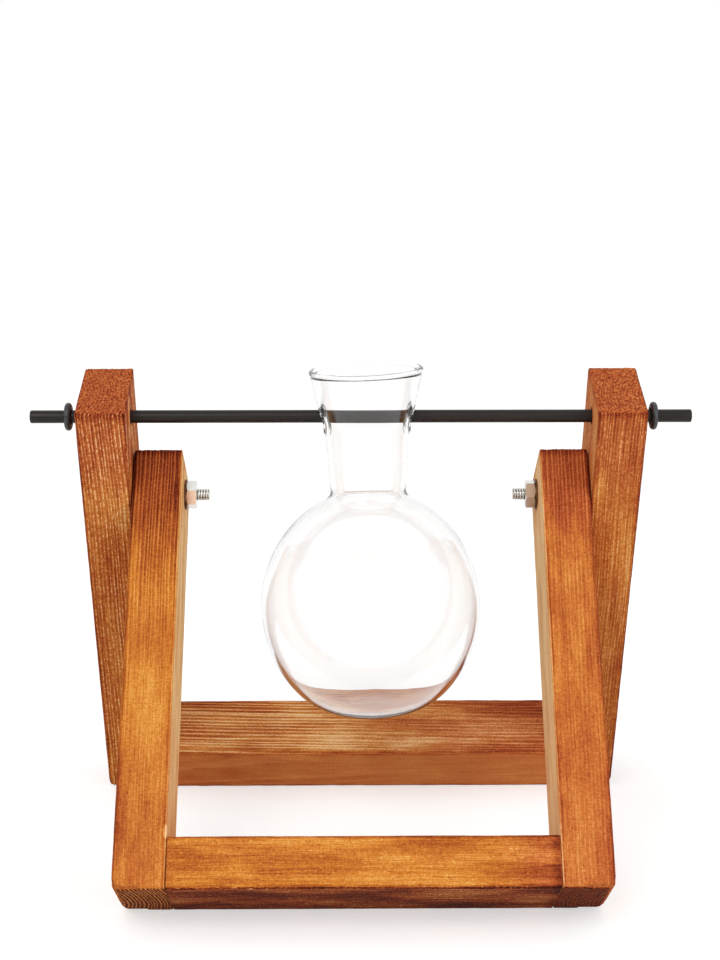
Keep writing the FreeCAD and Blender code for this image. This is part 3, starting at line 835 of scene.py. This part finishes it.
def rod_material():
    """Near black coated rod with drawing lines along it."""
    n = new_nodes("bronzed_rod")
    streaks = n.noise(n.place(60.0, 900.0, 900.0), 1.0, 4.0)
    tone = n.ramp(streaks, [(0.3, colour(15, 9, 5)), (0.7, colour(34, 23, 15))])
    rough = n.weigh(n.noise(n.place(), 500.0, 3.0), 0.25, 0.28)
    return n.finish(n.surface(Base_Color=tone, Roughness=rough, Metallic=0.1, Specular_IOR_Level=0.3,
                              Normal=n.bump(streaks, 0.00003, 0.6)))


def rubber_material():
    """Dark rubber with a little dust."""
    n = new_nodes("ring_rubber")
    dust = n.noise(n.place(), 900.0, 4.0)
    tone = n.ramp(dust, [(0.35, colour(34, 34, 36)), (0.75, colour(66, 68, 74))])
    rough = n.weigh(dust, 0.2, 0.34)
    return n.finish(n.surface(Base_Color=tone, Roughness=rough, Normal=n.bump(dust, 0.00003, 0.5)))


def dowel_material():
    """Pale beech with fine fibres along the dowels."""
    n = new_nodes("dowel_beech")
    fibres = n.noise(n.place(120.0, 1500.0, 1500.0), 1.0, 3.0)
    tone = n.ramp(fibres, [(0.3, colour(196, 154, 108)), (0.7, colour(224, 188, 142))])
    return n.finish(n.surface(Base_Color=tone, Roughness=0.6, Normal=n.bump(fibres, 0.00004, 0.6)))


def refinish(node, material):
    """Give a CAD node that stays a better material."""
    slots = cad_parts[node].data.materials
    slots.clear()
    slots.append(material)


# Shape of the screws

SCREW_RADIUS = 2.4
SCREW_SEGMENTS = 40
THREAD_PITCH = 1.0
THREAD_DEPTH = 0.46
THREAD_LENGTH = 14.0
THREAD_RUNOUT = 0.4
ROWS_PER_TURN = 10
GROOVE_SLOPE = 1.25
CREST_FLAT = 0.1
TIP_BEVEL = 0.45
TIP_BEVEL_LENGTH = 0.9

# Head with a bevelled edge, a dome and the arms of a cross in it
HEAD_RADIUS = 5.5
HEAD_HEIGHT = 2.2
HEAD_BEVEL = 0.15
HEAD_BEVEL_RISE = 0.12
HEAD_EDGE = 0.3
DOME_STEPS = 14
DOME_RISE = 0.9
DOME_FALL = 0.8
CROSS_START = 0.9
CROSS_HALF_WIDTH = 0.75
CROSS_REACH = 3.4
CROSS_DEPTH = 1.25
CROSS_STEEPNESS = 2.2


def thread_depth(along, angle):
    """Depth of the helical groove at a place, along being measured from the screw's tip."""
    turns = along / THREAD_PITCH - angle / FULL_TURN
    from_crest = abs((turns % 1.0) * 2 - 1)
    return THREAD_DEPTH * min(1.0, max(0.0, from_crest * GROOVE_SLOPE - CREST_FLAT))


def cross_depth(y, z):
    """Depth of the cross in the head."""
    near, far = sorted((abs(y), abs(z)))
    arm = max(0.0, 1 - near / CROSS_HALF_WIDTH) * max(0.0, 1 - far / CROSS_REACH)
    return CROSS_DEPTH * min(1.0, arm * CROSS_STEEPNESS)


def head_profile(seat):
    """The head's (along, radius) pairs, from under its rim to the middle of its dome."""
    profile = [(seat, HEAD_RADIUS - HEAD_BEVEL), (seat + HEAD_BEVEL_RISE, HEAD_RADIUS),
               (seat + HEAD_EDGE, HEAD_RADIUS)]
    for step in range(1, DOME_STEPS):
        quarter = step / DOME_STEPS * math.pi / 2
        rise = (HEAD_HEIGHT - HEAD_EDGE) * math.sin(quarter) ** DOME_RISE
        profile.append((seat + HEAD_EDGE + rise, HEAD_RADIUS * math.cos(quarter) ** DOME_FALL))
    return profile + [(seat + HEAD_HEIGHT, 0.0)]


def make_screw(side_name, side, finish):
    """A machine screw: a cut helical thread at the end that shows and a domed head with a cross."""
    node = f"{side_name}_pivot_screw"
    low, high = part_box(node)
    tip, head_top = sorted((abs(low.x) / MM, abs(high.x) / MM))
    seat = head_top - HEAD_HEIGHT
    angles = [FULL_TURN * step / SCREW_SEGMENTS for step in range(SCREW_SEGMENTS)]
    vertices = []
    grooves = []
    rings = []
    rows = round(THREAD_LENGTH / THREAD_PITCH * ROWS_PER_TURN)
    for row in range(rows + 1):
        along = tip + THREAD_LENGTH * row / rows
        bevel = max(0.0, 1 - (along - tip) / TIP_BEVEL_LENGTH) * TIP_BEVEL
        rings.append(list(range(len(vertices), len(vertices) + SCREW_SEGMENTS)))
        for angle in angles:
            depth = thread_depth(along - tip, angle)
            radius = SCREW_RADIUS - max(depth, bevel)
            grooves.append(depth / THREAD_DEPTH)
            vertices.append(Vector((side * along, radius * math.cos(angle), radius * math.sin(angle))))
    shank = [(tip + THREAD_LENGTH + THREAD_RUNOUT, SCREW_RADIUS), (seat, SCREW_RADIUS)]
    for along, radius in shank + head_profile(seat):
        numbers = range(len(vertices), len(vertices) + SCREW_SEGMENTS)
        rings.append(list(numbers) if radius else [numbers[0]] * SCREW_SEGMENTS)
        for angle in angles if radius else angles[:1]:
            y, z = radius * math.cos(angle), radius * math.sin(angle)
            sunk = cross_depth(y, z) if along > seat + CROSS_START else 0.0
            vertices.append(Vector((side * (along - sunk), y, z)))
    faces = link_rings(rings) + [rings[0]]
    matrix = TO_METRES @ REAR_PLACE
    piece = mesh_object(f"{side_name}_screw_cut", [matrix @ vertex for vertex in vertices], faces)
    # Depth of the groove at each point, which the zinc turns into painted shade
    grooves += [0.0] * (len(vertices) - len(grooves))
    keep_points(piece, "groove", [(depth, 0.0, 0.0) for depth in grooves])
    piece.data.materials.append(finish)
    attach(piece, "rear_frame")
    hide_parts(node)


# Shape of the nuts

NUT_FLATS = 9.4
NUT_BORE = 4.1
NUT_BEVEL = math.radians(30)
NUT_FACE_MARGIN = 0.2
NUT_LAND = 0.04
NUT_SHARP_ANGLE = math.radians(14)
FACET_STEPS = 8
FACET_RING = 2

# Which way a nut's first corner points, and the painted reflection on each flat
NUT_TURN = {"left": 90, "right": 60}
NUT_FLAT_REFLECTIONS = {"left": (0.05, 0.35, 0.05, 0.1, 0.15, 0.05), "right": (0.05, 0.75, 1.0, 0.15, 0.1, 0.1)}


def make_nut(side_name, finish):
    """Hex nut, its corners cut back to a cone at both ends, with one painted reflection to a flat."""
    low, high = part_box(f"{side_name}_pivot_nut")
    near, far = low.x / MM, high.x / MM
    inner, face = NUT_BORE / 2, NUT_FLATS / 2 - NUT_FACE_MARGIN
    around = 6 * FACET_STEPS
    rings = [[], [], [], [], [], []]
    vertices = []
    for step in range(around):
        turn = math.radians(NUT_TURN[side_name] + 360 * step / around)
        away = math.radians(60 * (step % FACET_STEPS) / FACET_STEPS - 30)
        outer = NUT_FLATS / 2 / math.cos(away)
        cut = (outer - NUT_FLATS / 2) * math.tan(NUT_BEVEL) + NUT_LAND
        profile = [(near, inner), (near, face), (near + cut, outer), (far - cut, outer), (far, face),
                   (far, inner)]
        for ring, (x, radius) in zip(rings, profile):
            ring.append(len(vertices))
            y = PIVOT.y + radius * math.cos(turn)
            z = PIVOT.z + radius * math.sin(turn)
            vertices.append(Vector((x, y, z)) * MM)
    piece = mesh_object(f"{side_name}_nut_bevelled", vertices, link_rings(rings, closed=True))
    piece.data.set_sharp_from_angle(angle=NUT_SHARP_ANGLE)
    # How strongly each flat takes its painted reflection
    flat_reflection = piece.data.attributes.new("flat_reflection", "FLOAT", "FACE")
    flat_reflection.data.foreach_set("value", [
        NUT_FLAT_REFLECTIONS[side_name][step // FACET_STEPS] if row == FACET_RING else 0.0
        for row in range(len(rings)) for step in range(around)])
    piece.data.materials.append(finish)
    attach(piece, "rear_frame")
    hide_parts(f"{side_name}_pivot_nut")


# Shape of the rod and its rings

ROD_BEVEL = 0.5
ROD_BEVEL_STEPS = 4
ROD_ROWS = 60
ROD_SEGMENTS = 64
ROD_WEAR = 0.02
ROD_WEAR_SCALE = 0.3
RING_FIT = 0.05
RING_RADIUS = 5.2
RING_STEPS = 28
RING_SEGMENTS = 56
RING_FLATNESS = 0.8
RING_SHRINK = 0.06
MOULD_LINE = 0.05
MOULD_LINE_ANGLE = 0.12


def make_rod(finish):
    """The rod, very slightly uneven along its length, with rounded ends."""
    low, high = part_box("hanging_rod")
    end = high.x / MM
    radius = (high.z - low.z) / MM / 2
    cap = [(-end, 0.0)]
    cap += arc_points((-end + ROD_BEVEL, radius - ROD_BEVEL), ROD_BEVEL, 180, 90, ROD_BEVEL_STEPS)
    profile = list(cap)
    for step in range(1, ROD_ROWS):
        along = -end + ROD_BEVEL + (2 * end - 2 * ROD_BEVEL) * step / ROD_ROWS
        uneven = noise.noise(Vector((along * ROD_WEAR_SCALE, 0, 0)))
        profile.append((along, radius - ROD_WEAR - ROD_WEAR * uneven))
    profile += [(-along, around) for along, around in reversed(cap)]
    place = Matrix.Translation((0, ROD_AXIS.y, ROD_AXIS.z))
    vertices, faces = lathe(profile, ROD_SEGMENTS, place, closed=False)
    piece = mesh_object("rod_turned", vertices, faces)
    piece.data.materials.append(finish)
    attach(piece, "rod")
    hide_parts("hanging_rod")


def make_ring(side_name, finish):
    """A rubber ring, flat on the sides, with a faint mould line."""
    node = f"{side_name}_stopper_ring"
    low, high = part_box(node)
    width = (high.x - low.x) / MM
    rod_low, rod_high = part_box("hanging_rod")
    inner = (rod_high.z - rod_low.z) / MM / 2 + RING_FIT
    middle_radius = (inner + RING_RADIUS) / 2
    half_depth = (RING_RADIUS - inner) / 2 - RING_SHRINK
    profile = []
    for step in range(RING_STEPS):
        angle = FULL_TURN * step / RING_STEPS
        flat = math.copysign(abs(math.cos(angle)) ** RING_FLATNESS, math.cos(angle))
        line = MOULD_LINE * max(0.0, 1 - abs(angle - math.pi / 2) / MOULD_LINE_ANGLE)
        profile.append((width / 2 * flat, middle_radius + (half_depth + line) * math.sin(angle)))
    place = Matrix.Translation(((high.x + low.x) / 2 / MM, ROD_AXIS.y, ROD_AXIS.z))
    vertices, faces = lathe(profile, RING_SEGMENTS, place)
    piece = mesh_object(f"{side_name}_ring_moulded", vertices, faces)
    piece.data.materials.append(finish)
    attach(piece, f"{side_name}_ring")
    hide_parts(node)


# Shape of the glass vase, heights from its foot

FOOT_RADIUS = 17.9
FOOT_ROUND = 28.0
FOOT_FLAT = [(0.0, 0.0), (4.0, 0.0), (8.0, 0.0)]
BULB_RADIUS = 41.25
BULB_MIDDLE = 40.4
ROOT_RADIUS = 13.9
ROOT_HEIGHT = 82.2
ROOT_ROUND = 4.2
WAIST_RADIUS = 15.3
WAIST_HEIGHT = 103.3
WAIST_ROUND = 40.0
MOUTH_RADIUS = 20.9
RIM_HEIGHT = 130.2
ROOT_LEAN = math.atan2(WAIST_RADIUS - ROOT_RADIUS, WAIST_HEIGHT - ROOT_HEIGHT)
FLARE_LEAN = math.atan2(MOUTH_RADIUS - WAIST_RADIUS, RIM_HEIGHT - WAIST_HEIGHT)
NECK_BEND = WAIST_ROUND * math.tan((FLARE_LEAN - ROOT_LEAN) / 2)
FOOT_STEPS, LOWER_STEPS, UPPER_STEPS, ROOT_STEPS = 24, 20, 46, 12

# Wall, thicker in the floor and at the root of the neck, each with how far that spreads
WALL = 1.4
FLOOR_WALL = 1.6
FLOOR_SPREAD = 4
ROOT_EXTRA = 0.25
ROOT_SPREAD = 2.4

# Bead round the mouth, its arc being in the profile's plane, and how deep the wall ends below it
BEAD_RADIUS = 0.95
BEAD_SEAT = BEAD_RADIUS * 0.95
BEAD_ARC = (-45, 225)
BEAD_STEPS = 22

# Side holes, their melted lips, and the wall drawn in round them
HOLE_HEIGHT = 111.6
LIP_CENTRE_RADIUS = 4.65
LIP_TUBE_RADIUS = 1.05
LIP_EDGE_RADIUS = LIP_CENTRE_RADIUS + LIP_TUBE_RADIUS * 0.98
LIP_PROUD = 0.35
LIP_START, LIP_SWEEP = -35, 250
LIP_STEPS = 14
DIMPLE_REACH = 10.5
DIMPLE_DEPTH = 0.55
DIMPLE_FROM_X = 5

# How the vase hangs in the photograph, and how far its tilted rim comes down
VASE_LEAN = 1.15
VASE_SWING = 2.2
RIM_TILT = 1.15
RIM_DROP = 1.05


def arc_centre(radius_at_end, height_at_end):
    """How far out the centre lies of the arc from the widest point to an end of the bulb."""
    rise = height_at_end - BULB_MIDDLE
    return (BULB_RADIUS ** 2 - radius_at_end ** 2 - rise ** 2) / (2 * (BULB_RADIUS - radius_at_end))


def bulb_outline():
    """The outer skin from the foot's middle to the root of the neck, as (radius, height) pairs."""
    low_x = arc_centre(FOOT_RADIUS, 0.0)
    low_r = BULB_RADIUS - low_x
    foot_x = low_x + math.sqrt((low_r - FOOT_ROUND) ** 2 - (BULB_MIDDLE - FOOT_ROUND) ** 2)
    turn = math.degrees(math.atan2(FOOT_ROUND - BULB_MIDDLE, foot_x - low_x))
    points = list(FOOT_FLAT)
    points += arc_points((foot_x, FOOT_ROUND), FOOT_ROUND, -90, turn, FOOT_STEPS)
    points += arc_points((low_x, BULB_MIDDLE), low_r, turn, 0, LOWER_STEPS)[1:]

    # The round at the root touches the upper arc and the neck
    high_x = arc_centre(ROOT_RADIUS, ROOT_HEIGHT)
    high_r = BULB_RADIUS - high_x
    along = Vector((math.sin(ROOT_LEAN), math.cos(ROOT_LEAN)))
    out = Vector((math.cos(ROOT_LEAN), -math.sin(ROOT_LEAN)))
    start = Vector((ROOT_RADIUS, ROOT_HEIGHT)) + out * ROOT_ROUND - Vector((high_x, BULB_MIDDLE))
    half = start.dot(along)
    reach = -half + math.sqrt(half ** 2 - start.length_squared + (high_r + ROOT_ROUND) ** 2)
    centre = start + along * reach + Vector((high_x, BULB_MIDDLE))
    to_bulb = math.degrees(math.atan2(centre.y - BULB_MIDDLE, centre.x - high_x))
    to_neck = 180 - math.degrees(ROOT_LEAN)
    points += arc_points((high_x, BULB_MIDDLE), high_r, 0, to_bulb, UPPER_STEPS)[1:]
    points += arc_points(centre, ROOT_ROUND, to_bulb + 180, to_neck, ROOT_STEPS)[1:]
    return points


def neck_radius(height):
    """The neck's outer radius: two cones with a soft bend between them."""
    lean = ROOT_LEAN if height <= WAIST_HEIGHT else FLARE_LEAN
    plain = WAIST_RADIUS + (height - WAIST_HEIGHT) * math.tan(lean)
    inside = max(0.0, 1 - abs(height - WAIST_HEIGHT) / NECK_BEND)
    return plain + inside ** 2 * NECK_BEND * math.tan(FLARE_LEAN - ROOT_LEAN) / 4


# Columns of the mesh, rows as high as a column is wide at the holes, and a square round each hole
COLUMNS = 96
COLUMN_ANGLE = FULL_TURN / COLUMNS
ROW_STEP = neck_radius(HOLE_HEIGHT) * COLUMN_ANGLE
PATCH_COLUMNS = 8
RINGS_ROUND_HOLE = 6
RING_CROWDING = 0.85
HOLE_COLUMNS = (0, COLUMNS // 2)


def outer_skin():
    """The outer profile from foot to rim, and the first and last of its rows beside the holes."""
    bulb = bulb_outline()
    bulb_end = bulb[-1][1]
    patch_low = HOLE_HEIGHT - PATCH_COLUMNS * ROW_STEP
    patch_high = HOLE_HEIGHT + PATCH_COLUMNS * ROW_STEP
    rim_start = RIM_HEIGHT - BEAD_SEAT
    below = round((patch_low - bulb_end) / ROW_STEP)
    above = round((rim_start - patch_high) / ROW_STEP)
    heights = [bulb_end + (patch_low - bulb_end) * step / below for step in range(1, below)]
    first = len(bulb) + len(heights)
    heights += [patch_low + ROW_STEP * step for step in range(2 * PATCH_COLUMNS + 1)]
    heights += [patch_high + (rim_start - patch_high) * step / above for step in range(1, above + 1)]
    return bulb + [(neck_radius(height), height) for height in heights], (first, first + 2 * PATCH_COLUMNS)


def inner_skin(outer, patch_rows):
    """The outer profile set in by the wall: along its normals, and level beside the holes."""
    inner = []
    for index, (radius, height) in enumerate(outer):
        before = outer[max(0, index - 1)]
        after = outer[min(len(outer) - 1, index + 1)]
        slope = Vector((after[0] - before[0], after[1] - before[1])).normalized()
        normal = Vector((slope.y, -slope.x))
        if patch_rows[0] <= index <= patch_rows[1]:
            normal = Vector((1, 0))
        thick = WALL + (FLOOR_WALL - WALL) * math.exp(-(height / FLOOR_SPREAD) ** 2)
        thick += ROOT_EXTRA * math.exp(-((height - ROOT_HEIGHT) / ROOT_SPREAD) ** 2)
        inner.append((max(0.0, radius - normal.x * thick), height - normal.y * thick))
    return inner


def near_hole(step):
    """Whether a column of faces lies in the square round one of the two side holes."""
    for centre in HOLE_COLUMNS:
        away = (step - centre + COLUMNS // 2) % COLUMNS - COLUMNS // 2
        if -PATCH_COLUMNS <= away < PATCH_COLUMNS:
            return True
    return False


def add_hole(vertices, faces, rings, low_row, flip, hole_column):
    """Fill one square with rings that close in on the hole, over its lip and back out inside."""
    span = 2 * PATCH_COLUMNS
    walk = [(step, 0) for step in range(span)] + [(span, step) for step in range(span)]
    walk += [(span - step, span) for step in range(span)] + [(0, span - step) for step in range(span)]
    border = [((across - PATCH_COLUMNS) * ROW_STEP, (up - PATCH_COLUMNS) * ROW_STEP) for across, up in walk]
    edge = [(low_row + up, (hole_column - PATCH_COLUMNS + across) % COLUMNS) for across, up in walk]

    def loop(share, circle_radius, depth):
        """One ring of new points, at a share of the way from the square to a circle."""
        numbers = []
        for p, q in border:
            length = math.hypot(p, q)
            p += (p / length * circle_radius - p) * share
            q += (q / length * circle_radius - q) * share
            angle = hole_column * COLUMN_ANGLE + p / neck_radius(HOLE_HEIGHT)
            radius = neck_radius(HOLE_HEIGHT + q) - depth
            numbers.append(len(vertices))
            vertices.append(Vector((radius * math.cos(angle), radius * math.sin(angle), HOLE_HEIGHT + q)))
        return numbers

    closing = [(step / RINGS_ROUND_HOLE) ** RING_CROWDING for step in range(1, RINGS_ROUND_HOLE + 1)]
    half_wall = WALL / 2
    loops = [[rings[row][column] for row, column in edge]]
    loops += [loop(share, LIP_EDGE_RADIUS, 0.0) for share in closing]
    for step in range(LIP_STEPS + 1):
        angle = math.radians(LIP_START + LIP_SWEEP * step / LIP_STEPS)
        circle_radius = LIP_CENTRE_RADIUS + LIP_TUBE_RADIUS * math.cos(angle)
        loops.append(loop(1.0, circle_radius, half_wall - (half_wall + LIP_PROUD) * math.sin(angle)))
    loops += [loop(share, LIP_EDGE_RADIUS, WALL) for share in reversed(closing)]
    loops.append([rings[flip - row][column] for row, column in edge])
    faces.extend(link_rings(loops))


def dimpled(point):
    """Draw the wall in a little round each side hole, as melting its edge does."""
    away = math.hypot(point.y, point.z - HOLE_HEIGHT)
    if away > DIMPLE_REACH or abs(point.x) < DIMPLE_FROM_X:
        return point
    depth = DIMPLE_DEPTH * (1 - (away / DIMPLE_REACH) ** 2) ** 2
    return Vector((point.x - math.copysign(depth, point.x), point.y, point.z))


def hung(point):
    """Hang the vase where the photograph shows it: leaning a little, with a rim that isn't level."""
    rise = max(0.0, (point.z - ROOT_HEIGHT) / (RIM_HEIGHT - ROOT_HEIGHT)) ** 2
    tilted = point.copy()
    tilted.z += rise * (math.tan(math.radians(RIM_TILT)) * point.x - RIM_DROP)
    pivot = Vector((0, 0, BULB_MIDDLE))
    lean = Matrix.Rotation(math.radians(-VASE_LEAN), 3, "Y")
    leaning = lean @ (tilted - pivot) + pivot + VASE_FOOT
    swing = Matrix.Rotation(math.radians(-VASE_SWING), 3, "X")
    return swing @ (leaning - ROD_AXIS) + ROD_AXIS


def make_vase(finish):
    """Blown glass in one skin: outer wall, beaded rim, inner wall, and two holes with melted lips."""
    outer, patch_rows = outer_skin()
    bead = arc_points((MOUTH_RADIUS - WALL / 2, RIM_HEIGHT), BEAD_RADIUS, *BEAD_ARC, BEAD_STEPS)
    profile = outer + bead + inner_skin(outer, patch_rows)[::-1]
    vertices = []
    rings = []
    for radius, height in profile:
        numbers = range(len(vertices), len(vertices) + COLUMNS)
        if radius < TINY:
            vertices.append(Vector((0, 0, height)))
            rings.append([numbers[0]] * COLUMNS)
            continue
        for step in range(COLUMNS):
            angle = COLUMN_ANGLE * step
            vertices.append(Vector((radius * math.cos(angle), radius * math.sin(angle), height)))
        rings.append(list(numbers))
    flip = len(profile) - 1
    squares = (patch_rows, (flip - patch_rows[1], flip - patch_rows[0]))

    def in_square(row, step):
        return near_hole(step) and any(low <= row < high for low, high in squares)

    faces = link_rings(rings, skip=in_square)
    for hole_column in HOLE_COLUMNS:
        add_hole(vertices, faces, rings, patch_rows[0], flip, hole_column)
    piece = mesh_object("vase_blown", [hung(dimpled(vertex)) * MM for vertex in vertices], faces)
    piece.data.materials.append(finish)
    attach(piece, "vase")
    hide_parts("glass_vase")


def glass_material():
    """Clear glass with slow waves, which darkens a little where it is looked through edgeways."""
    n = new_nodes("blown_glass")
    waves = n.noise(n.place(), 38.0, 2.0)
    dim = n.node("ShaderNodeVolumeAbsorption", Color=BLACK, Density=12.0)
    n.finish(dim.outputs[0], "Volume")
    return n.finish(n.surface(Base_Color=WHITE, Roughness=0.0, IOR=1.47, Transmission_Weight=1.0,
                              Normal=n.bump(waves, 0.0004, 0.25)))


# Floor, light and camera, in metres and watts

FLOOR_REACH = 6.0
FLOOR_GLOW = 0.5
WORLD_STRENGTH = 0.8
LIGHT_TARGET = (0.0, 0.0, 0.09)

# Place, width and power of each soft light
LIGHTS = {
    "key": ((-0.55, -1.1, 1.15), 0.8, 8.5),
    "fill": ((0.9, -0.7, 0.5), 0.9, 4.5),
}

# Camera, found from the photograph, its place in millimetres and its turn in radians
CAMERA_PLACE = (-6.114, -626.080, 286.305)
CAMERA_PITCH = 13.072
CAMERA_TURN = -0.00882
FOCAL_PIXELS = 1765.62
FRAME_WIDTH_PIXELS = 720
SENSOR_WIDTH = 36.0


def white_rays(n):
    """1 for the rays that should see plain white: those of the camera, glossy ones and through glass."""
    path = n.node("ShaderNodeLightPath").outputs
    either = n.math("MAXIMUM", path["Is Camera Ray"], path["Is Glossy Ray"])
    return n.math("MAXIMUM", either, path["Is Transmission Ray"])


def make_floor():
    """A pale floor that keeps the object's shadow and shows as white elsewhere."""
    reach = FLOOR_REACH
    corners = [(-reach, -reach, 0), (reach, -reach, 0), (reach, reach, 0), (-reach, reach, 0)]
    floor = mesh_object("floor", corners, [[0, 1, 2, 3]], smooth=False)
    n = new_nodes("pale_floor")
    cloudy = n.noise(n.place(), 300.0, 2.0)
    paper = n.ramp(cloudy, [(0.3, colour(206, 206, 205)), (0.7, colour(210, 210, 209))])
    matt = n.node("ShaderNodeBsdfDiffuse", Color=paper).outputs[0]
    glow = n.node("ShaderNodeEmission", Color=WHITE, Strength=n.times(white_rays(n), FLOOR_GLOW))
    both = n.node("ShaderNodeAddShader")
    n.feed(both.inputs[0], matt)
    n.feed(both.inputs[1], glow.outputs[0])
    floor.data.materials.append(n.finish(both.outputs[0]))


def make_world():
    """Soft light from all round, seen as plain white."""
    world = bpy.data.worlds.new("studio")
    bpy.context.scene.world = world
    n = Nodes(world, "ShaderNodeOutputWorld")
    strength = n.weigh(white_rays(n), 1 - WORLD_STRENGTH, WORLD_STRENGTH)
    n.finish(n.node("ShaderNodeBackground", Color=WHITE, Strength=strength).outputs[0])


def make_light(name, place, width, power):
    """A square soft light that the camera doesn't see, aimed at the middle of the object."""
    light = bpy.data.lights.new(name, "AREA")
    light.shape = "SQUARE"
    light.size = width
    light.energy = power
    lamp = bpy.data.objects.new(name, light)
    lamp.location = place
    lamp.rotation_euler = (Vector(LIGHT_TARGET) - Vector(place)).to_track_quat("-Z", "Y").to_euler()
    lamp.visible_camera = False
    bpy.context.scene.collection.objects.link(lamp)


def make_camera():
    """The camera at the photograph's place and angle."""
    data = bpy.data.cameras.new("photo_camera")
    data.sensor_fit = "HORIZONTAL"
    data.sensor_width = SENSOR_WIDTH
    data.lens = FOCAL_PIXELS / FRAME_WIDTH_PIXELS * SENSOR_WIDTH
    data.clip_start = 0.01
    data.clip_end = 50
    camera = bpy.data.objects.new("photo_camera", data)
    camera.location = Vector(CAMERA_PLACE) * MM
    camera.rotation_euler = (math.radians(90 - CAMERA_PITCH), 0, CAMERA_TURN)
    bpy.context.scene.collection.objects.link(camera)
    bpy.context.scene.camera = camera


for stick, details in STICKS.items():
    make_stick(stick, *details, LOOKS[stick])
zinc = zinc_material()
dark = washer_material()
for side_name, side in SIDES.items():
    make_screw(side_name, side, zinc)
    make_nut(side_name, zinc)
    refinish(f"{side_name}_nut_washer", dark)
beech = dowel_material()
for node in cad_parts:
    if node.endswith("_dowels"):
        refinish(node, beech)
make_rod(rod_material())
rubber = rubber_material()
for side_name in SIDES:
    make_ring(side_name, rubber)
make_vase(glass_material())
make_floor()
make_world()
for light, details in LIGHTS.items():
    make_light(light, *details)
make_camera()
bpy.context.scene.view_settings.view_transform = "Standard"
